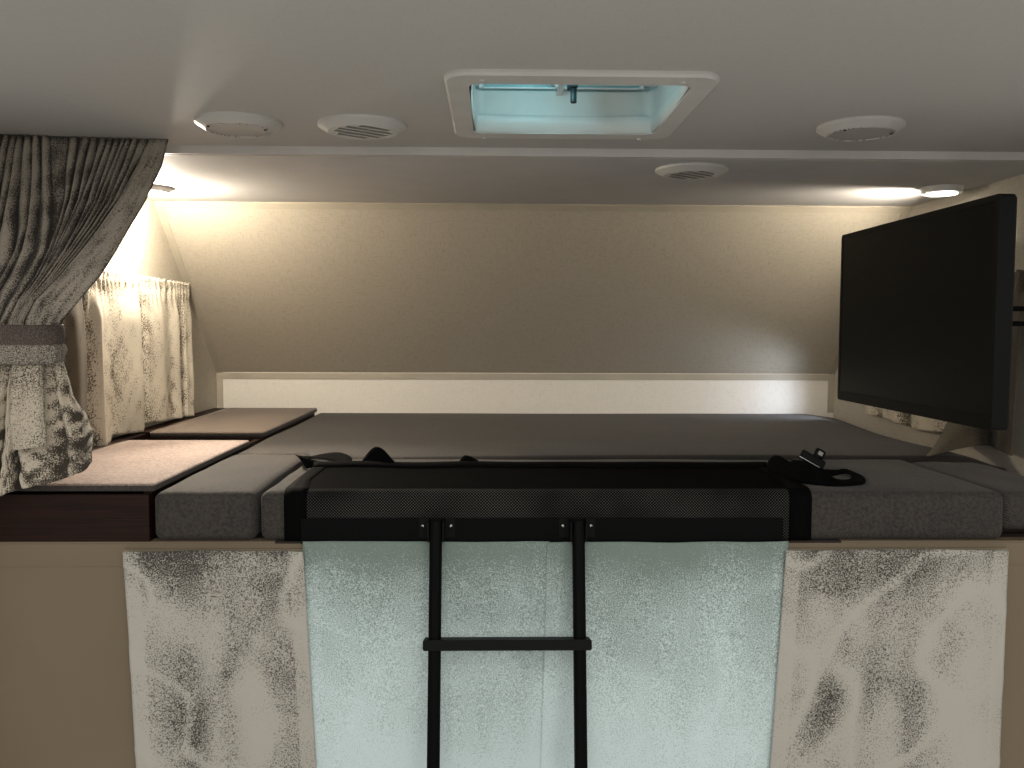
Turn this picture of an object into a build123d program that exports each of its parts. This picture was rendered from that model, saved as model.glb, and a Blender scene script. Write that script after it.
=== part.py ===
from build123d import *
import os
from math import cos, hypot, radians, sin, tan

# Over-cab berth section of a motorhome: the sleeping alcove that hangs over the driving cab,
# with its roof and roof hatch, windows, bed cushions, side locker, safety net, ladder,
# television on a swing arm, and curtains.
# Sizes are in millimetres. X is to the right looking forward, Y is forward, Z is up.
# The origin is at floor level in the middle of the way through to the cab.

# Shell of the alcove
inner_width = 2400
wall_thick = 40
nose_thick = 40
deck_top = 1270
deck_thick = 50
cushion_thick = 100
berth_depth = 1686
knee_rise = 154
berth_height = 720
slope_run = 608
lining_thick = 15
roof_thick = 60
roof_overhang = 750
roof_edge_radius = 18
wall_lap = 150
bulkhead_thick = 30
passage_width = 1140
threshold_aft = -15
threshold_depth = 60
threshold_thick = 18

half_width = inner_width / 2
passage_half = passage_width / 2
deck_bottom = deck_top - deck_thick
bed_top = deck_top + cushion_thick
knee_z = bed_top + knee_rise
berth_ceiling_z = bed_top + berth_height
ceiling_z = berth_ceiling_z + lining_thick
roof_top = ceiling_z + roof_thick
nose_front = berth_depth + nose_thick
slope_rise = berth_ceiling_z - knee_z
slope_length = hypot(slope_run, slope_rise)
slope_normal = (slope_rise / slope_length, slope_run / slope_length)
slope_shift = nose_thick / slope_normal[0]
outer_knee_z = knee_z + (slope_shift - nose_thick) * slope_rise / slope_run

# Fits between pieces
touch = 0.3
seat_gap = 5


def inner_y(z):
    """Forward place of the sloped wall's inner face at height z."""
    return berth_depth - (z - knee_z) * slope_run / slope_rise


def outer_y(z):
    """Forward place of the sloped wall's outer face at height z."""
    return inner_y(z) + slope_shift


def slab(x, y, z, mode=Mode.ADD):
    """Adds a block between two places on each axis to the part being built."""
    with BuildSketch(Plane.XY.offset(min(z))) as outline:
        with Locations(((x[0] + x[1]) / 2, (y[0] + y[1]) / 2)):
            Rectangle(abs(x[1] - x[0]), abs(y[1] - y[0]))
    extrude(outline.sketch, amount=abs(z[1] - z[0]), mode=mode)


def side_profile(points, x, mode=Mode.ADD):
    """Adds a side-view outline of (Y, Z) points, extruded between two places along X."""
    with BuildSketch(Plane.YZ.offset(min(x))) as outline:
        with BuildLine():
            Polyline(*points, close=True)
        make_face()
    extrude(outline.sketch, amount=abs(x[1] - x[0]), mode=mode)


def write(part, name):
    """Names a finished piece and writes its file."""
    part.label = name
    export_step(part, f"parts/{name}.step")


os.makedirs("parts", exist_ok=True)

# Side windows
window_y = 840
window_rise = 245
window_width = 680
window_height = 310
window_corner = 45
frame_lip = 20
frame_lip_thick = 6
clamp_ring_thick = 4
frame_wall = 5
frame_fit = 1
pane_thick = 5

window_z = bed_top + window_rise


def window_block(x0, x1, grow, mode=Mode.ADD):
    """Adds the window's rounded outline, grown by a margin, between two places along X."""
    with BuildSketch(Plane.YZ.offset(min(x0, x1))) as outline:
        with Locations((window_y, window_z)):
            RectangleRounded(window_width + 2 * grow, window_height + 2 * grow, window_corner + grow)
    extrude(outline.sketch, amount=abs(x1 - x0), mode=mode)


# Side walls: one sandwich panel each, from the floor post aft of the cab to the nose
wall_outline = [
    (-wall_lap, 0),
    (bulkhead_thick, 0),
    (bulkhead_thick, deck_bottom),
    (nose_front, deck_bottom),
    (nose_front, outer_knee_z),
    (outer_y(ceiling_z), ceiling_z),
    (-wall_lap, ceiling_z),
]
for side, hand in (("left", -1), ("right", 1)):
    inner_x = hand * half_width
    outer_x = hand * (half_width + wall_thick)
    with BuildPart() as side_wall:
        side_profile(wall_outline, (inner_x, outer_x))
        window_block(inner_x, outer_x, 0, mode=Mode.SUBTRACT)
    write(side_wall.part, f"side_wall_{side}")

# Window frames: a lip outside, a clamp ring inside and a tube between them, round one fixed pane
with BuildPart() as window_frames:
    for hand in (-1, 1):
        inner_x = hand * half_width
        outer_x = hand * (half_width + wall_thick)
        lip_x = outer_x + hand * frame_lip_thick
        ring_x = inner_x - hand * clamp_ring_thick
        window_block(outer_x, lip_x, frame_lip)
        window_block(ring_x, inner_x, frame_lip)
        window_block(ring_x, lip_x, -frame_fit)
        window_block(ring_x, lip_x, -frame_fit - frame_wall, mode=Mode.SUBTRACT)
write(window_frames.part, "window_frames")

with BuildPart() as window_panes:
    for hand in (-1, 1):
        pane_outer = hand * (half_width + wall_thick) - hand * frame_wall
        window_block(pane_outer, pane_outer - hand * pane_thick, -frame_fit - frame_wall)
write(window_panes.part, "window_panes")

# Nose: an upright lower panel and a sloped upper panel, mitred at the knee
with BuildPart() as nose_lower:
    side_profile(
        [
            (berth_depth, deck_bottom),
            (nose_front, deck_bottom),
            (nose_front, outer_knee_z),
            (berth_depth, knee_z),
        ],
        (-half_width, half_width),
    )
write(nose_lower.part, "nose_lower")

with BuildPart() as nose_slope:
    side_profile(
        [
            (berth_depth, knee_z),
            (nose_front, outer_knee_z),
            (outer_y(ceiling_z), ceiling_z),
            (inner_y(ceiling_z), ceiling_z),
        ],
        (-half_width, half_width),
    )
write(nose_slope.part, "nose_slope")

# Mouldings inside the nose: strips round the sloped panel and round the lower panel
strip_width = 24
strip_thick = 3
strip_gap = 2


def slope_plane(depth):
    """Plane on the sloped wall's inner face, x to the right and y up the slope."""
    return Plane(
        origin=(0, berth_depth - depth * slope_normal[0], knee_z - depth * slope_normal[1]),
        x_dir=(1, 0, 0),
        z_dir=(0, slope_normal[0], slope_normal[1]),
    )


with BuildPart() as nose_mouldings:
    with BuildSketch(slope_plane(strip_thick)):
        with Locations((0, -slope_length / 2)):
            Rectangle(inner_width, slope_length - 2 * strip_gap)
            with Locations((0, strip_width)):
                Rectangle(inner_width - 2 * strip_width, slope_length - 2 * strip_gap, mode=Mode.SUBTRACT)
    extrude(amount=strip_thick)
    lower_y = (berth_depth - strip_thick, berth_depth)
    slab((-half_width, half_width), lower_y, (bed_top + strip_gap, knee_z - strip_gap))
    slab(
        (-half_width + strip_width, half_width - strip_width),
        lower_y,
        (bed_top + strip_gap, knee_z - strip_gap - strip_width),
        mode=Mode.SUBTRACT,
    )
write(nose_mouldings.part, "nose_mouldings")

# Deck of the bed, with a tongue over the passage and a rebate for the net rail's foot
rail_left = -516
rail_right = 448
rail_height = 48
rail_leg = 5
rail_foot_thick = 3.3
rail_foot_depth = 45
rail_aft = -9
filler_width = 287
filler_base_height = 14
filler_setback = 25
front_depth = 465
filler_left = half_width - filler_width

with BuildPart() as deck:
    slab((-half_width, half_width), (bulkhead_thick, berth_depth), (deck_bottom, deck_top))
    slab((-passage_half, passage_half), (0, bulkhead_thick), (deck_bottom, deck_top))
    slab(
        (rail_left - touch, rail_right + touch),
        (0, rail_foot_depth + touch),
        (deck_top - rail_foot_thick, deck_top),
        mode=Mode.SUBTRACT,
    )
    slab(
        (filler_left + seat_gap, half_width - seat_gap),
        (2 * filler_setback + bulkhead_thick, front_depth - filler_setback),
        (deck_top, deck_top + filler_base_height),
    )
write(deck.part, "deck")

# Bulkheads on both sides of the way through to the cab, and the threshold between them
for side, hand in (("left", -1), ("right", 1)):
    with BuildPart() as bulkhead:
        slab((hand * passage_half, hand * half_width), (0, bulkhead_thick), (0, deck_top))
    write(bulkhead.part, f"bulkhead_{side}")

with BuildPart() as threshold:
    threshold_y = (threshold_aft, threshold_aft + threshold_depth)
    slab((-passage_half, passage_half), threshold_y, (0, threshold_thick))
    nosing = threshold.edges().filter_by(Axis.X).group_by(Axis.Z)[-1].group_by(Axis.Y)[0]
    fillet(nosing, threshold_thick / 3)
write(threshold.part, "threshold")

# Roof hatch: the interior flange, the well through the roof, and the rim outside
hatch_x = 8
hatch_y = -92
hatch_opening = 390
hatch_flange_width = 450
hatch_flange_depth = 474
hatch_flange_corner = 42
hatch_flange_thick = 9
hatch_liner_fit = 2
hatch_liner_wall = 8
hatch_corner = 30
hatch_curb_width = 478
hatch_curb_thick = 4
hatch_rim_rise = 16
lid_width = 430
lid_rise = 38
lid_crown = 12
lid_bevel_run = 24
lid_wall = 4
lid_corner = 45
lid_lift = 6
hinge_setback = 9
hinge_pin_radius = 3
hinge_fit = 0.08
hinge_ear = 4
hinge_spread = 130
hinge_lug_wall = 3
hinge_lug_width = 12
hinge_lug_step = 20
hinge_knuckle_lap = 4
hatch_bar_width = 12
hatch_bar_height = 8
hatch_bar_left = 16

lid_bottom = roof_top + hatch_curb_thick + lid_lift
rim_top = roof_top + hatch_rim_rise
liner_outer = hatch_opening - 2 * hatch_liner_fit
liner_inner = liner_outer - 2 * hatch_liner_wall
hinge_y = hatch_y + lid_width / 2 + hinge_setback
hinge_z = lid_bottom + hinge_pin_radius + hinge_ear
hinge_radius = hinge_pin_radius + hinge_lug_wall
bar_x = (hatch_x - hatch_bar_left, hatch_x - hatch_bar_left + hatch_bar_width)
bar_z = (rim_top - hatch_bar_height, rim_top)


def hatch_block(z, size, corner, height, taper=0, mode=Mode.ADD):
    """Adds a rounded block round the hatch's centre, upwards from height z; size is (X, Y)."""
    with BuildSketch(Plane.XY.offset(z)) as outline:
        with Locations((hatch_x, hatch_y)):
            RectangleRounded(size[0], size[1], corner)
    extrude(outline.sketch, amount=height, taper=taper, mode=mode)


def hatch_square(z, width, height, mode=Mode.ADD):
    """Adds a square block round the hatch's centre, upwards from height z."""
    x = (hatch_x - width / 2, hatch_x + width / 2)
    y = (hatch_y - width / 2, hatch_y + width / 2)
    slab(x, y, (z, z + height), mode=mode)


with BuildPart() as hatch_frame:
    flange = (hatch_flange_width, hatch_flange_depth)
    hatch_block(ceiling_z - hatch_flange_thick, flange, hatch_flange_corner, hatch_flange_thick)
    chamfer(hatch_frame.faces().sort_by(Axis.Z)[0].edges(), hatch_flange_thick / 2)
    hatch_square(ceiling_z, liner_outer, roof_thick + hatch_rim_rise)
    hatch_square(roof_top, hatch_curb_width, hatch_curb_thick)
    for x in (hatch_x - hinge_spread, hatch_x + hinge_spread):
        slab(
            (x - hinge_lug_width / 2, x + hinge_lug_width / 2),
            (hinge_y - hinge_radius, hinge_y + hinge_radius),
            (roof_top + hatch_curb_thick / 2, hinge_z + hinge_radius),
        )
    with BuildSketch(Plane.YZ.offset(hatch_x - hinge_spread - hinge_lug_width)):
        with Locations((hinge_y, hinge_z)):
            Circle(hinge_pin_radius)
    extrude(amount=2 * (hinge_spread + hinge_lug_width))
    hatch_block(
        ceiling_z - hatch_flange_thick,
        (liner_inner, liner_inner),
        hatch_corner - hatch_liner_wall,
        roof_thick + hatch_rim_rise + hatch_flange_thick,
        mode=Mode.SUBTRACT,
    )
    slab(bar_x, (hatch_y - liner_inner / 2, hatch_y + liner_inner / 2), bar_z)
write(hatch_frame.part, "hatch_frame")


with BuildPart() as hatch_lid:
    hatch_block(lid_bottom, (lid_width, lid_width), lid_corner, lid_rise)
    lid_top = hatch_lid.faces().sort_by(Axis.Z)[-1]
    chamfer(lid_top.edges(), lid_bevel_run, lid_crown, reference=lid_top)
    side_cavity = (lid_wall, lid_rise - lid_crown - lid_wall)
    crown_cavity = (lid_bevel_run + lid_wall, lid_rise - lid_wall)
    for inset, height in (side_cavity, crown_cavity):
        cavity = lid_width - 2 * inset
        hatch_block(lid_bottom, (cavity, cavity), lid_corner - inset, height, mode=Mode.SUBTRACT)
    barrel = hinge_spread - hinge_lug_step
    knuckle_reach = hinge_setback + hinge_knuckle_lap
    with BuildSketch(Plane.YZ.offset(hatch_x - barrel)):
        with Locations((hinge_y, hinge_z)):
            Circle(hinge_radius)
        with Locations((hinge_y - knuckle_reach / 2, hinge_z)):
            Rectangle(knuckle_reach, 2 * hinge_pin_radius + hinge_lug_wall)
        with Locations((hinge_y, hinge_z)):
            Circle(hinge_pin_radius + hinge_fit, mode=Mode.SUBTRACT)
    extrude(amount=2 * barrel)
write(hatch_lid.part, "hatch_lid")

# Crank of the hatch: its gear box beside the bar across the well, and the hanging handle
crank_forward = 42
crank_box_width = 18
crank_box_depth = 32
crank_box_height = 31
crank_handle_radius = 4.5
crank_handle_drop = 26

crank_x = (bar_x[1], bar_x[1] + crank_box_width)
crank_y = hatch_y + crank_forward
crank_z = rim_top - crank_box_height

with BuildPart() as hatch_crank:
    slab(crank_x, (crank_y - crank_box_depth / 2, crank_y + crank_box_depth / 2), (crank_z, rim_top))
    with BuildSketch(Plane.XY.offset(crank_z - crank_handle_drop)):
        with Locations(((crank_x[0] + crank_x[1]) / 2 + crank_handle_radius / 2, crank_y)):
            Circle(crank_handle_radius)
    extrude(amount=crank_handle_drop)
write(hatch_crank.part, "hatch_crank")

# Air registers, speakers and lamps on the two ceilings
register_radius = 89
register_core = 57
register_height = 16
register_slots = 5
register_slot_share = 0.56
register_pocket = 24
register_pocket_fit = 2
register_turn = 38
register_tilt = 56
rim_bevel = 20
speaker_radius = 84
speaker_cone = 62
speaker_height = 18
speaker_dish = 2
lamp_radius = 56
lamp_height = 16
lamp_draft = 12
lamp_wall_gap = 40
left_lamp_share = 0.4745
right_lamp_share = 0.4152
lens_thick = 4
lens_radius = 40

register_places = ((-400, 66, ceiling_z), (353, 450, berth_ceiling_z))
speaker_places = ((-643, 50, ceiling_z), (600, 36, ceiling_z))
lamp_x = half_width - lamp_radius - lamp_wall_gap
lamp_places = (
    (-lamp_x, berth_depth * left_lamp_share, berth_ceiling_z),
    (lamp_x, berth_depth * right_lamp_share, berth_ceiling_z),
)

with BuildPart() as register:
    with BuildSketch(Plane.XZ):
        with BuildLine():
            Polyline(
                (0, 0),
                (register_radius, 0),
                (register_radius, -register_height / 3),
                (register_radius - rim_bevel, -register_height),
                (0, -register_height),
                close=True,
            )
        make_face()
    revolve(axis=Axis.Z)
    pitch = 2 * register_core / register_slots
    for number in range(register_slots):
        place = -register_core + pitch * (number + 0.5)
        reach = (register_core**2 - place**2) ** 0.5
        with Locations(Rotation(0, 0, register_turn) * Pos(0, place, -register_height / 2)):
            with Locations(Rotation(register_tilt, 0, 0)):
                Box(2 * reach, 3 * register_height, pitch * register_slot_share, mode=Mode.SUBTRACT)

with BuildPart() as air_registers:
    with Locations(*register_places):
        add(register.part)
write(air_registers.part, "air_registers")

with BuildPart() as speaker:
    with BuildSketch(Plane.XZ):
        with BuildLine():
            Polyline(
                (0, 0),
                (speaker_radius, 0),
                (speaker_radius, -speaker_height / 3),
                (speaker_radius - rim_bevel, -speaker_height),
                (speaker_cone, -speaker_height),
                (speaker_cone, -speaker_height + speaker_dish),
                (0, -speaker_height + speaker_dish),
                close=True,
            )
        make_face()
    revolve(axis=Axis.Z)

with BuildPart() as speakers:
    with Locations(*speaker_places):
        add(speaker.part)
write(speakers.part, "speakers")

with BuildPart() as lamp:
    with BuildSketch():
        Circle(lamp_radius)
    extrude(amount=-lamp_height, taper=lamp_draft)

with BuildPart() as berth_lamps:
    with Locations(*lamp_places):
        add(lamp.part)
write(berth_lamps.part, "berth_lamps")

with BuildPart() as lamp_lenses:
    for x, y, z in lamp_places:
        with BuildSketch(Plane.XY.offset(z - lamp_height - lens_thick)):
            with Locations((x, y)):
                Circle(lens_radius)
        extrude(amount=lens_thick)
write(lamp_lenses.part, "lamp_lenses")

# Roof panel with the hatch opening and pockets over the air registers
with BuildPart() as roof:
    side_profile(
        [
            (-roof_overhang, ceiling_z),
            (outer_y(ceiling_z), ceiling_z),
            (outer_y(roof_top), roof_top),
            (-roof_overhang, roof_top),
        ],
        (-half_width - wall_thick, half_width + wall_thick),
    )
    long_edges = roof.edges().filter_by(Axis.Y).group_by(Axis.Z)[-1]
    front_edge = roof.edges().filter_by(Axis.X).group_by(Axis.Z)[-1].sort_by(Axis.Y)[-1]
    fillet([*long_edges, front_edge], roof_edge_radius)
    hatch_square(ceiling_z, hatch_opening, roof_thick, mode=Mode.SUBTRACT)
    for x, y, z in register_places:
        with BuildSketch(Plane.XY.offset(ceiling_z)):
            with Locations((x, y)):
                Circle(register_core + register_pocket_fit)
        extrude(amount=register_pocket, mode=Mode.SUBTRACT)
write(roof.part, "roof")

# Curtain track across the ceiling, in the step where the berth's own ceiling begins
track_y = 285
track_width = 30
track_height = 18
track_slot = 6
track_skin = 3

with BuildPart() as ceiling_track:
    with BuildSketch(Plane.YZ.offset(-half_width)):
        with Locations((track_y + track_width / 2, ceiling_z - track_height / 2)):
            Rectangle(track_width, track_height)
            Rectangle(track_width - 2 * track_skin, track_height - 2 * track_skin, mode=Mode.SUBTRACT)
            with Locations((0, -track_height / 2 + track_skin / 2)):
                Rectangle(track_slot, track_skin, mode=Mode.SUBTRACT)
    extrude(amount=inner_width)
write(ceiling_track.part, "ceiling_track")

berth_ceiling_aft = track_y + track_width
with BuildPart() as berth_ceiling:
    side_profile(
        [
            (berth_ceiling_aft, berth_ceiling_z),
            (inner_y(berth_ceiling_z), berth_ceiling_z),
            (inner_y(ceiling_z), ceiling_z),
            (berth_ceiling_aft, ceiling_z),
        ],
        (-half_width, half_width),
    )
    with BuildSketch(Plane.XY.offset(berth_ceiling_z)):
        with Locations(register_places[1][:2]):
            Circle(register_core + register_pocket_fit)
    extrude(amount=lining_thick, mode=Mode.SUBTRACT)
write(berth_ceiling.part, "berth_ceiling")

# Mouldings over the outside corners between the nose and the side walls
moulding_thick = 4
moulding_reach = 34
with BuildPart() as corner_mouldings:
    shift = moulding_thick / slope_normal[0]
    outer_corner_z = outer_knee_z + (shift - moulding_thick) * slope_rise / slope_run
    side_profile(
        [
            (nose_front, deck_bottom),
            (nose_front + moulding_thick, deck_bottom),
            (nose_front + moulding_thick, outer_corner_z),
            (outer_y(ceiling_z) + shift, ceiling_z),
            (outer_y(ceiling_z), ceiling_z),
            (nose_front, outer_knee_z),
        ],
        (half_width + wall_thick - moulding_reach, half_width + wall_thick),
    )
    mirror(about=Plane.YZ)
write(corner_mouldings.part, "corner_mouldings")

# Marker lamps in a row along the top of the nose
marker_count = 5
marker_width = 96
marker_height = 26
marker_depth = 18
marker_drop = 60
marker_end_gap = 120
marker_draft = 18
marker_bevel = 7
with BuildPart() as marker_lamps:
    marker_plane = Plane(
        origin=(0, outer_y(ceiling_z - marker_drop), ceiling_z - marker_drop),
        x_dir=(-1, 0, 0),
        z_dir=(0, slope_normal[0], slope_normal[1]),
    )
    marker_pitch = (inner_width - 2 * marker_end_gap) / (marker_count - 1)
    with BuildSketch(marker_plane) as marker_outline:
        with GridLocations(marker_pitch, marker_height, marker_count, 1):
            Rectangle(marker_width, marker_height)
        chamfer(marker_outline.vertices(), marker_bevel)
    extrude(amount=marker_depth, taper=marker_draft)
write(marker_lamps.part, "marker_lamps")

# Bed cushions: a long one along the nose and three along the open edge
cushion_radius = 18
corner_radius = 12
locker_width = 382
ledge_width = 53
end_cushion_width = 206
end_cushion_depth = 545
wall_gap = 5
joint_gap = 5
filler_height = 80

locker_right = -half_width + locker_width
bed_left = locker_right + seat_gap
joint_left = bed_left + end_cushion_width + joint_gap
joint_right = filler_left - joint_gap
filler_bottom = deck_top + filler_base_height
front_row = (
    # name, from X, to X, from Y, to Y, underside, top
    ("main", joint_left, joint_right, 0, front_depth, deck_top, bed_top),
    ("left", bed_left, joint_left - joint_gap, 0, end_cushion_depth, deck_top, bed_top),
    (
        "right",
        filler_left,
        half_width - wall_gap,
        filler_setback,
        front_depth,
        filler_bottom,
        filler_bottom + filler_height,
    ),
)

with BuildPart() as mattress_back:
    back_start = front_depth + joint_gap
    slab((bed_left, half_width - wall_gap), (back_start, berth_depth - wall_gap), (deck_top, bed_top))
    slab(
        (bed_left, joint_left),
        (back_start, end_cushion_depth + joint_gap),
        (deck_top, bed_top),
        mode=Mode.SUBTRACT,
    )
    chamfer(mattress_back.edges().filter_by(Axis.Z), corner_radius / 2)
    chamfer(mattress_back.edges().group_by(Axis.Z)[-1], corner_radius / 2)
write(mattress_back.part, "mattress_back")

for name, x0, x1, y0, y1, z0, z1 in front_row:
    with BuildPart() as front_cushion:
        slab((x0, x1), (y0, y1), (z0, z1))
        top_edges = front_cushion.edges().group_by(Axis.Z)[-1]
        fillet(top_edges.filter_by(Axis.X), cushion_radius)
        chamfer(front_cushion.edges().filter_by(Axis.Z), corner_radius / 2)
    write(front_cushion.part, f"cushion_front_{name}")

# Side locker: a low case along the left wall in three boxes, the outer two under upholstered lids
panel_thick = 15
lid_thick = 16
lid_overhang = 26
lid_proud = 16
far_step = 4
near_box_end = 700
middle_box_depth = 150
locker_nose_gap = 36
lid_gap = 3
lid_end_setback = 10
front_panel_drop = 5
lid_hinge_radius = 2.5
lid_hinge_gap = 0.5
lid_edge = 5
ledge_drop = 1

far_box_start = near_box_end + middle_box_depth
locker_end = berth_depth - locker_nose_gap
ledge_right = -half_width + ledge_width
near_top = bed_top + lid_proud
far_top = near_top + far_step
lid_hinge_x = ledge_right + lid_hinge_radius
lid_left = lid_hinge_x + lid_hinge_radius + lid_hinge_gap
lid_right = locker_right - panel_thick + lid_overhang
locker_parts = (
    # name, from Y, to Y, top of its lid
    ("near", 0, near_box_end, near_top),
    ("far", far_box_start, locker_end, far_top),
)
near_rim = near_top - lid_thick - touch

with BuildPart() as locker_case:
    slab((locker_right - panel_thick, locker_right), (0, far_box_start), (deck_top, near_rim))
    for name, y0, y1, top in locker_parts:
        rim = top - lid_thick - touch
        slab((locker_right - panel_thick, locker_right), (y0, y1), (deck_top, rim))
        slab((ledge_right, locker_right), (y1 - panel_thick, y1), (deck_top, rim))
    far_rim = far_top - lid_thick - touch
    slab((ledge_right, locker_right), (far_box_start, far_box_start + panel_thick), (deck_top, far_rim))
    front_top = near_rim - front_panel_drop
    slab((-half_width, locker_right), (0, panel_thick), (deck_top, near_rim))
    slab((-half_width, locker_right), (0, panel_thick), (front_top, near_rim), mode=Mode.SUBTRACT)
write(locker_case.part, "locker_case")

with BuildPart() as wall_ledge:
    slab((-half_width, ledge_right), (panel_thick, far_box_start), (deck_top, near_top - ledge_drop))
    slab((-half_width, ledge_right), (far_box_start, locker_end), (deck_top, far_top - ledge_drop))
write(wall_ledge.part, "wall_ledge")

with BuildPart() as locker_hinges:
    for name, y0, y1, top in locker_parts:
        with BuildSketch(Plane.XZ.offset(-y1 + lid_end_setback)):
            with Locations((lid_hinge_x, top - lid_hinge_radius)):
                Circle(lid_hinge_radius)
        extrude(amount=y1 - y0 - 2 * lid_end_setback)
write(locker_hinges.part, "locker_hinges")

for name, y0, y1, top in locker_parts:
    with BuildPart() as locker_lid:
        slab((lid_left, lid_right), (y0 + lid_gap, y1 - lid_gap), (top - lid_thick, top))
        fillet(locker_lid.edges().filter_by(Axis.Z), lid_thick)
        chamfer(locker_lid.edges().group_by(Axis.Z)[-1], lid_edge)
    write(locker_lid.part, f"locker_lid_{name}")

# Safety net: an angle rail on the bed's edge, the mesh over the cushion, and its straps
net_left = -549
net_right = 505
net_thick = 2.4
net_gap = 0.6
net_depth = 320
net_foot_gap = 1

with BuildPart() as net_rail:
    side_profile(
        [
            (rail_aft, deck_top - rail_foot_thick),
            (rail_foot_depth, deck_top - rail_foot_thick),
            (rail_foot_depth, deck_top - touch),
            (rail_aft + rail_leg, deck_top - touch),
            (rail_aft + rail_leg, deck_top + rail_height),
            (rail_aft, deck_top + rail_height),
        ],
        (rail_left, rail_right),
    )
write(net_rail.part, "net_rail")

with BuildPart() as safety_net:
    inner = cushion_radius + net_gap
    outer = inner + net_thick
    bend_z = bed_top - cushion_radius
    with BuildSketch(Plane.YZ.offset(net_left)):
        with BuildLine():
            Line((-net_gap, deck_top + net_foot_gap), (-net_gap, bend_z))
            RadiusArc((-net_gap, bend_z), (cushion_radius, bed_top + net_gap), inner)
            Polyline(
                (cushion_radius, bed_top + net_gap),
                (net_depth, bed_top + net_gap),
                (net_depth, bed_top + net_gap + net_thick),
                (cushion_radius, bed_top + net_gap + net_thick),
            )
            RadiusArc(
                (cushion_radius, bed_top + net_gap + net_thick), (-net_gap - net_thick, bend_z), -outer
            )
            Polyline(
                (-net_gap - net_thick, bend_z),
                (-net_gap - net_thick, deck_top + net_foot_gap),
                (-net_gap, deck_top + net_foot_gap),
            )
        make_face()
    extrude(amount=net_right - net_left)
write(safety_net.part, "safety_net")

strap_width = 38
strap_thick = 2.2
strap_foot = 3 * strap_thick
net_top = bed_top + net_gap + net_thick
strap_loops = (
    # middle X, middle Y, length along X, height of the loop, what it lies on
    (-535, 330, 104, 24, net_top),
    (-401, 300, 66, 32, net_top),
    (-196, 300, 62, 22, net_top),
    (596, 180, 176, 16, bed_top),
)
with BuildPart() as net_straps:
    for x, y, length, rise, lies_on in strap_loops:
        base_z = lies_on + touch
        outer_foot = length / 2
        inner_foot = length / 2 - strap_foot
        with BuildSketch(Plane.XZ.offset(-y - strap_width / 2)):
            with BuildLine():
                ThreePointArc((x - outer_foot, base_z), (x, base_z + rise), (x + outer_foot, base_z))
                Line((x + outer_foot, base_z), (x + inner_foot, base_z))
                ThreePointArc(
                    (x + inner_foot, base_z),
                    (x, base_z + rise - strap_thick),
                    (x - inner_foot, base_z),
                )
                Line((x - inner_foot, base_z), (x - outer_foot, base_z))
            make_face()
        extrude(amount=strap_width)
write(net_straps.part, "net_straps")

buckle_x = 612
buckle_y = 330
buckle_width = 64
buckle_depth = 38
buckle_thick = 16
buckle_turn = -32
buckle_corner = 5
buckle_slot_width = 42
buckle_slot_depth = 6
buckle_slot_forward = 9
with BuildPart() as net_buckle:
    with BuildSketch(Plane.XY.offset(bed_top + touch)) as buckle_outline:
        with Locations(Location((buckle_x, buckle_y), (0, 0, buckle_turn))):
            Rectangle(buckle_width, buckle_depth)
            chamfer(buckle_outline.vertices(), buckle_corner)
            with Locations((0, buckle_slot_forward)):
                Rectangle(buckle_slot_width, buckle_slot_depth, mode=Mode.SUBTRACT)
    extrude(amount=buckle_thick)
write(net_buckle.part, "net_buckle")

# Ladder, leaning out from the pins of two brackets on the net rail
ladder_middle = -107
ladder_spacing = 279
ladder_lean = 11.5
ladder_pin_y = -40
ladder_pin_rise = 36
ladder_top_rise = 13
rail_side = 24
rail_deep = 30
rail_corner = 9
groove_width = 7
groove_deep = 1.6
rung_overhang = 9.5
rung_height = 20
rung_deep = 40
rung_shift = 4
rung_bevel = 3
rung_spacing = 273
rung_count = 4
first_rung_z = 1091
foot_height = 46
foot_wall = 4
bracket_width = 72
bracket_plate = 3
bracket_height = 38
bracket_ear = 3
bracket_fit = 1
bracket_reach = 12
bracket_drop = 6
bolt_thick = 3
pin_radius = 4
pin_fit = 0.08
bolt_radius = 4
bolt_spacing = 60

ladder_pin_z = deck_top + ladder_pin_rise
lean = radians(ladder_lean)
up_ladder = (0, sin(lean), cos(lean))
ladder_frame = Plane(origin=(ladder_middle, ladder_pin_y, ladder_pin_z), x_dir=(1, 0, 0), z_dir=up_ladder)
ladder_length = ladder_pin_z / cos(lean)
ladder_rails_x = (-ladder_spacing / 2, ladder_spacing / 2)
rung_length = ladder_spacing + rail_side + 2 * rung_overhang


def rail_section():
    """Sketches the rounded section of one ladder rail."""
    RectangleRounded(rail_side, rail_deep, rail_corner)


with BuildPart() as ladder_brackets:
    plate_aft = rail_aft - bracket_plate
    plate_middle_z = ladder_pin_z - bracket_drop
    plate_z = (plate_middle_z - bracket_height / 2, plate_middle_z + bracket_height / 2)
    ear_inner = rail_side / 2 + bracket_fit
    for x in ladder_rails_x:
        middle = ladder_middle + x
        slab((middle - bracket_width / 2, middle + bracket_width / 2), (plate_aft, rail_aft), plate_z)
        for hand in (-1, 1):
            slab(
                (middle + hand * ear_inner, middle + hand * (ear_inner + bracket_ear)),
                (ladder_pin_y - bracket_reach, plate_aft),
                plate_z,
            )
            with BuildSketch(Plane.XZ.offset(-plate_aft)):
                with Locations((middle + hand * bolt_spacing / 2, plate_middle_z)):
                    RegularPolygon(bolt_radius, 6)
            extrude(amount=bolt_thick)
        with BuildSketch(Plane.YZ.offset(middle - ear_inner - bracket_ear)):
            with Locations((ladder_pin_y, ladder_pin_z)):
                Circle(pin_radius)
        extrude(amount=2 * (ear_inner + bracket_ear))
write(ladder_brackets.part, "ladder_brackets")

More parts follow.
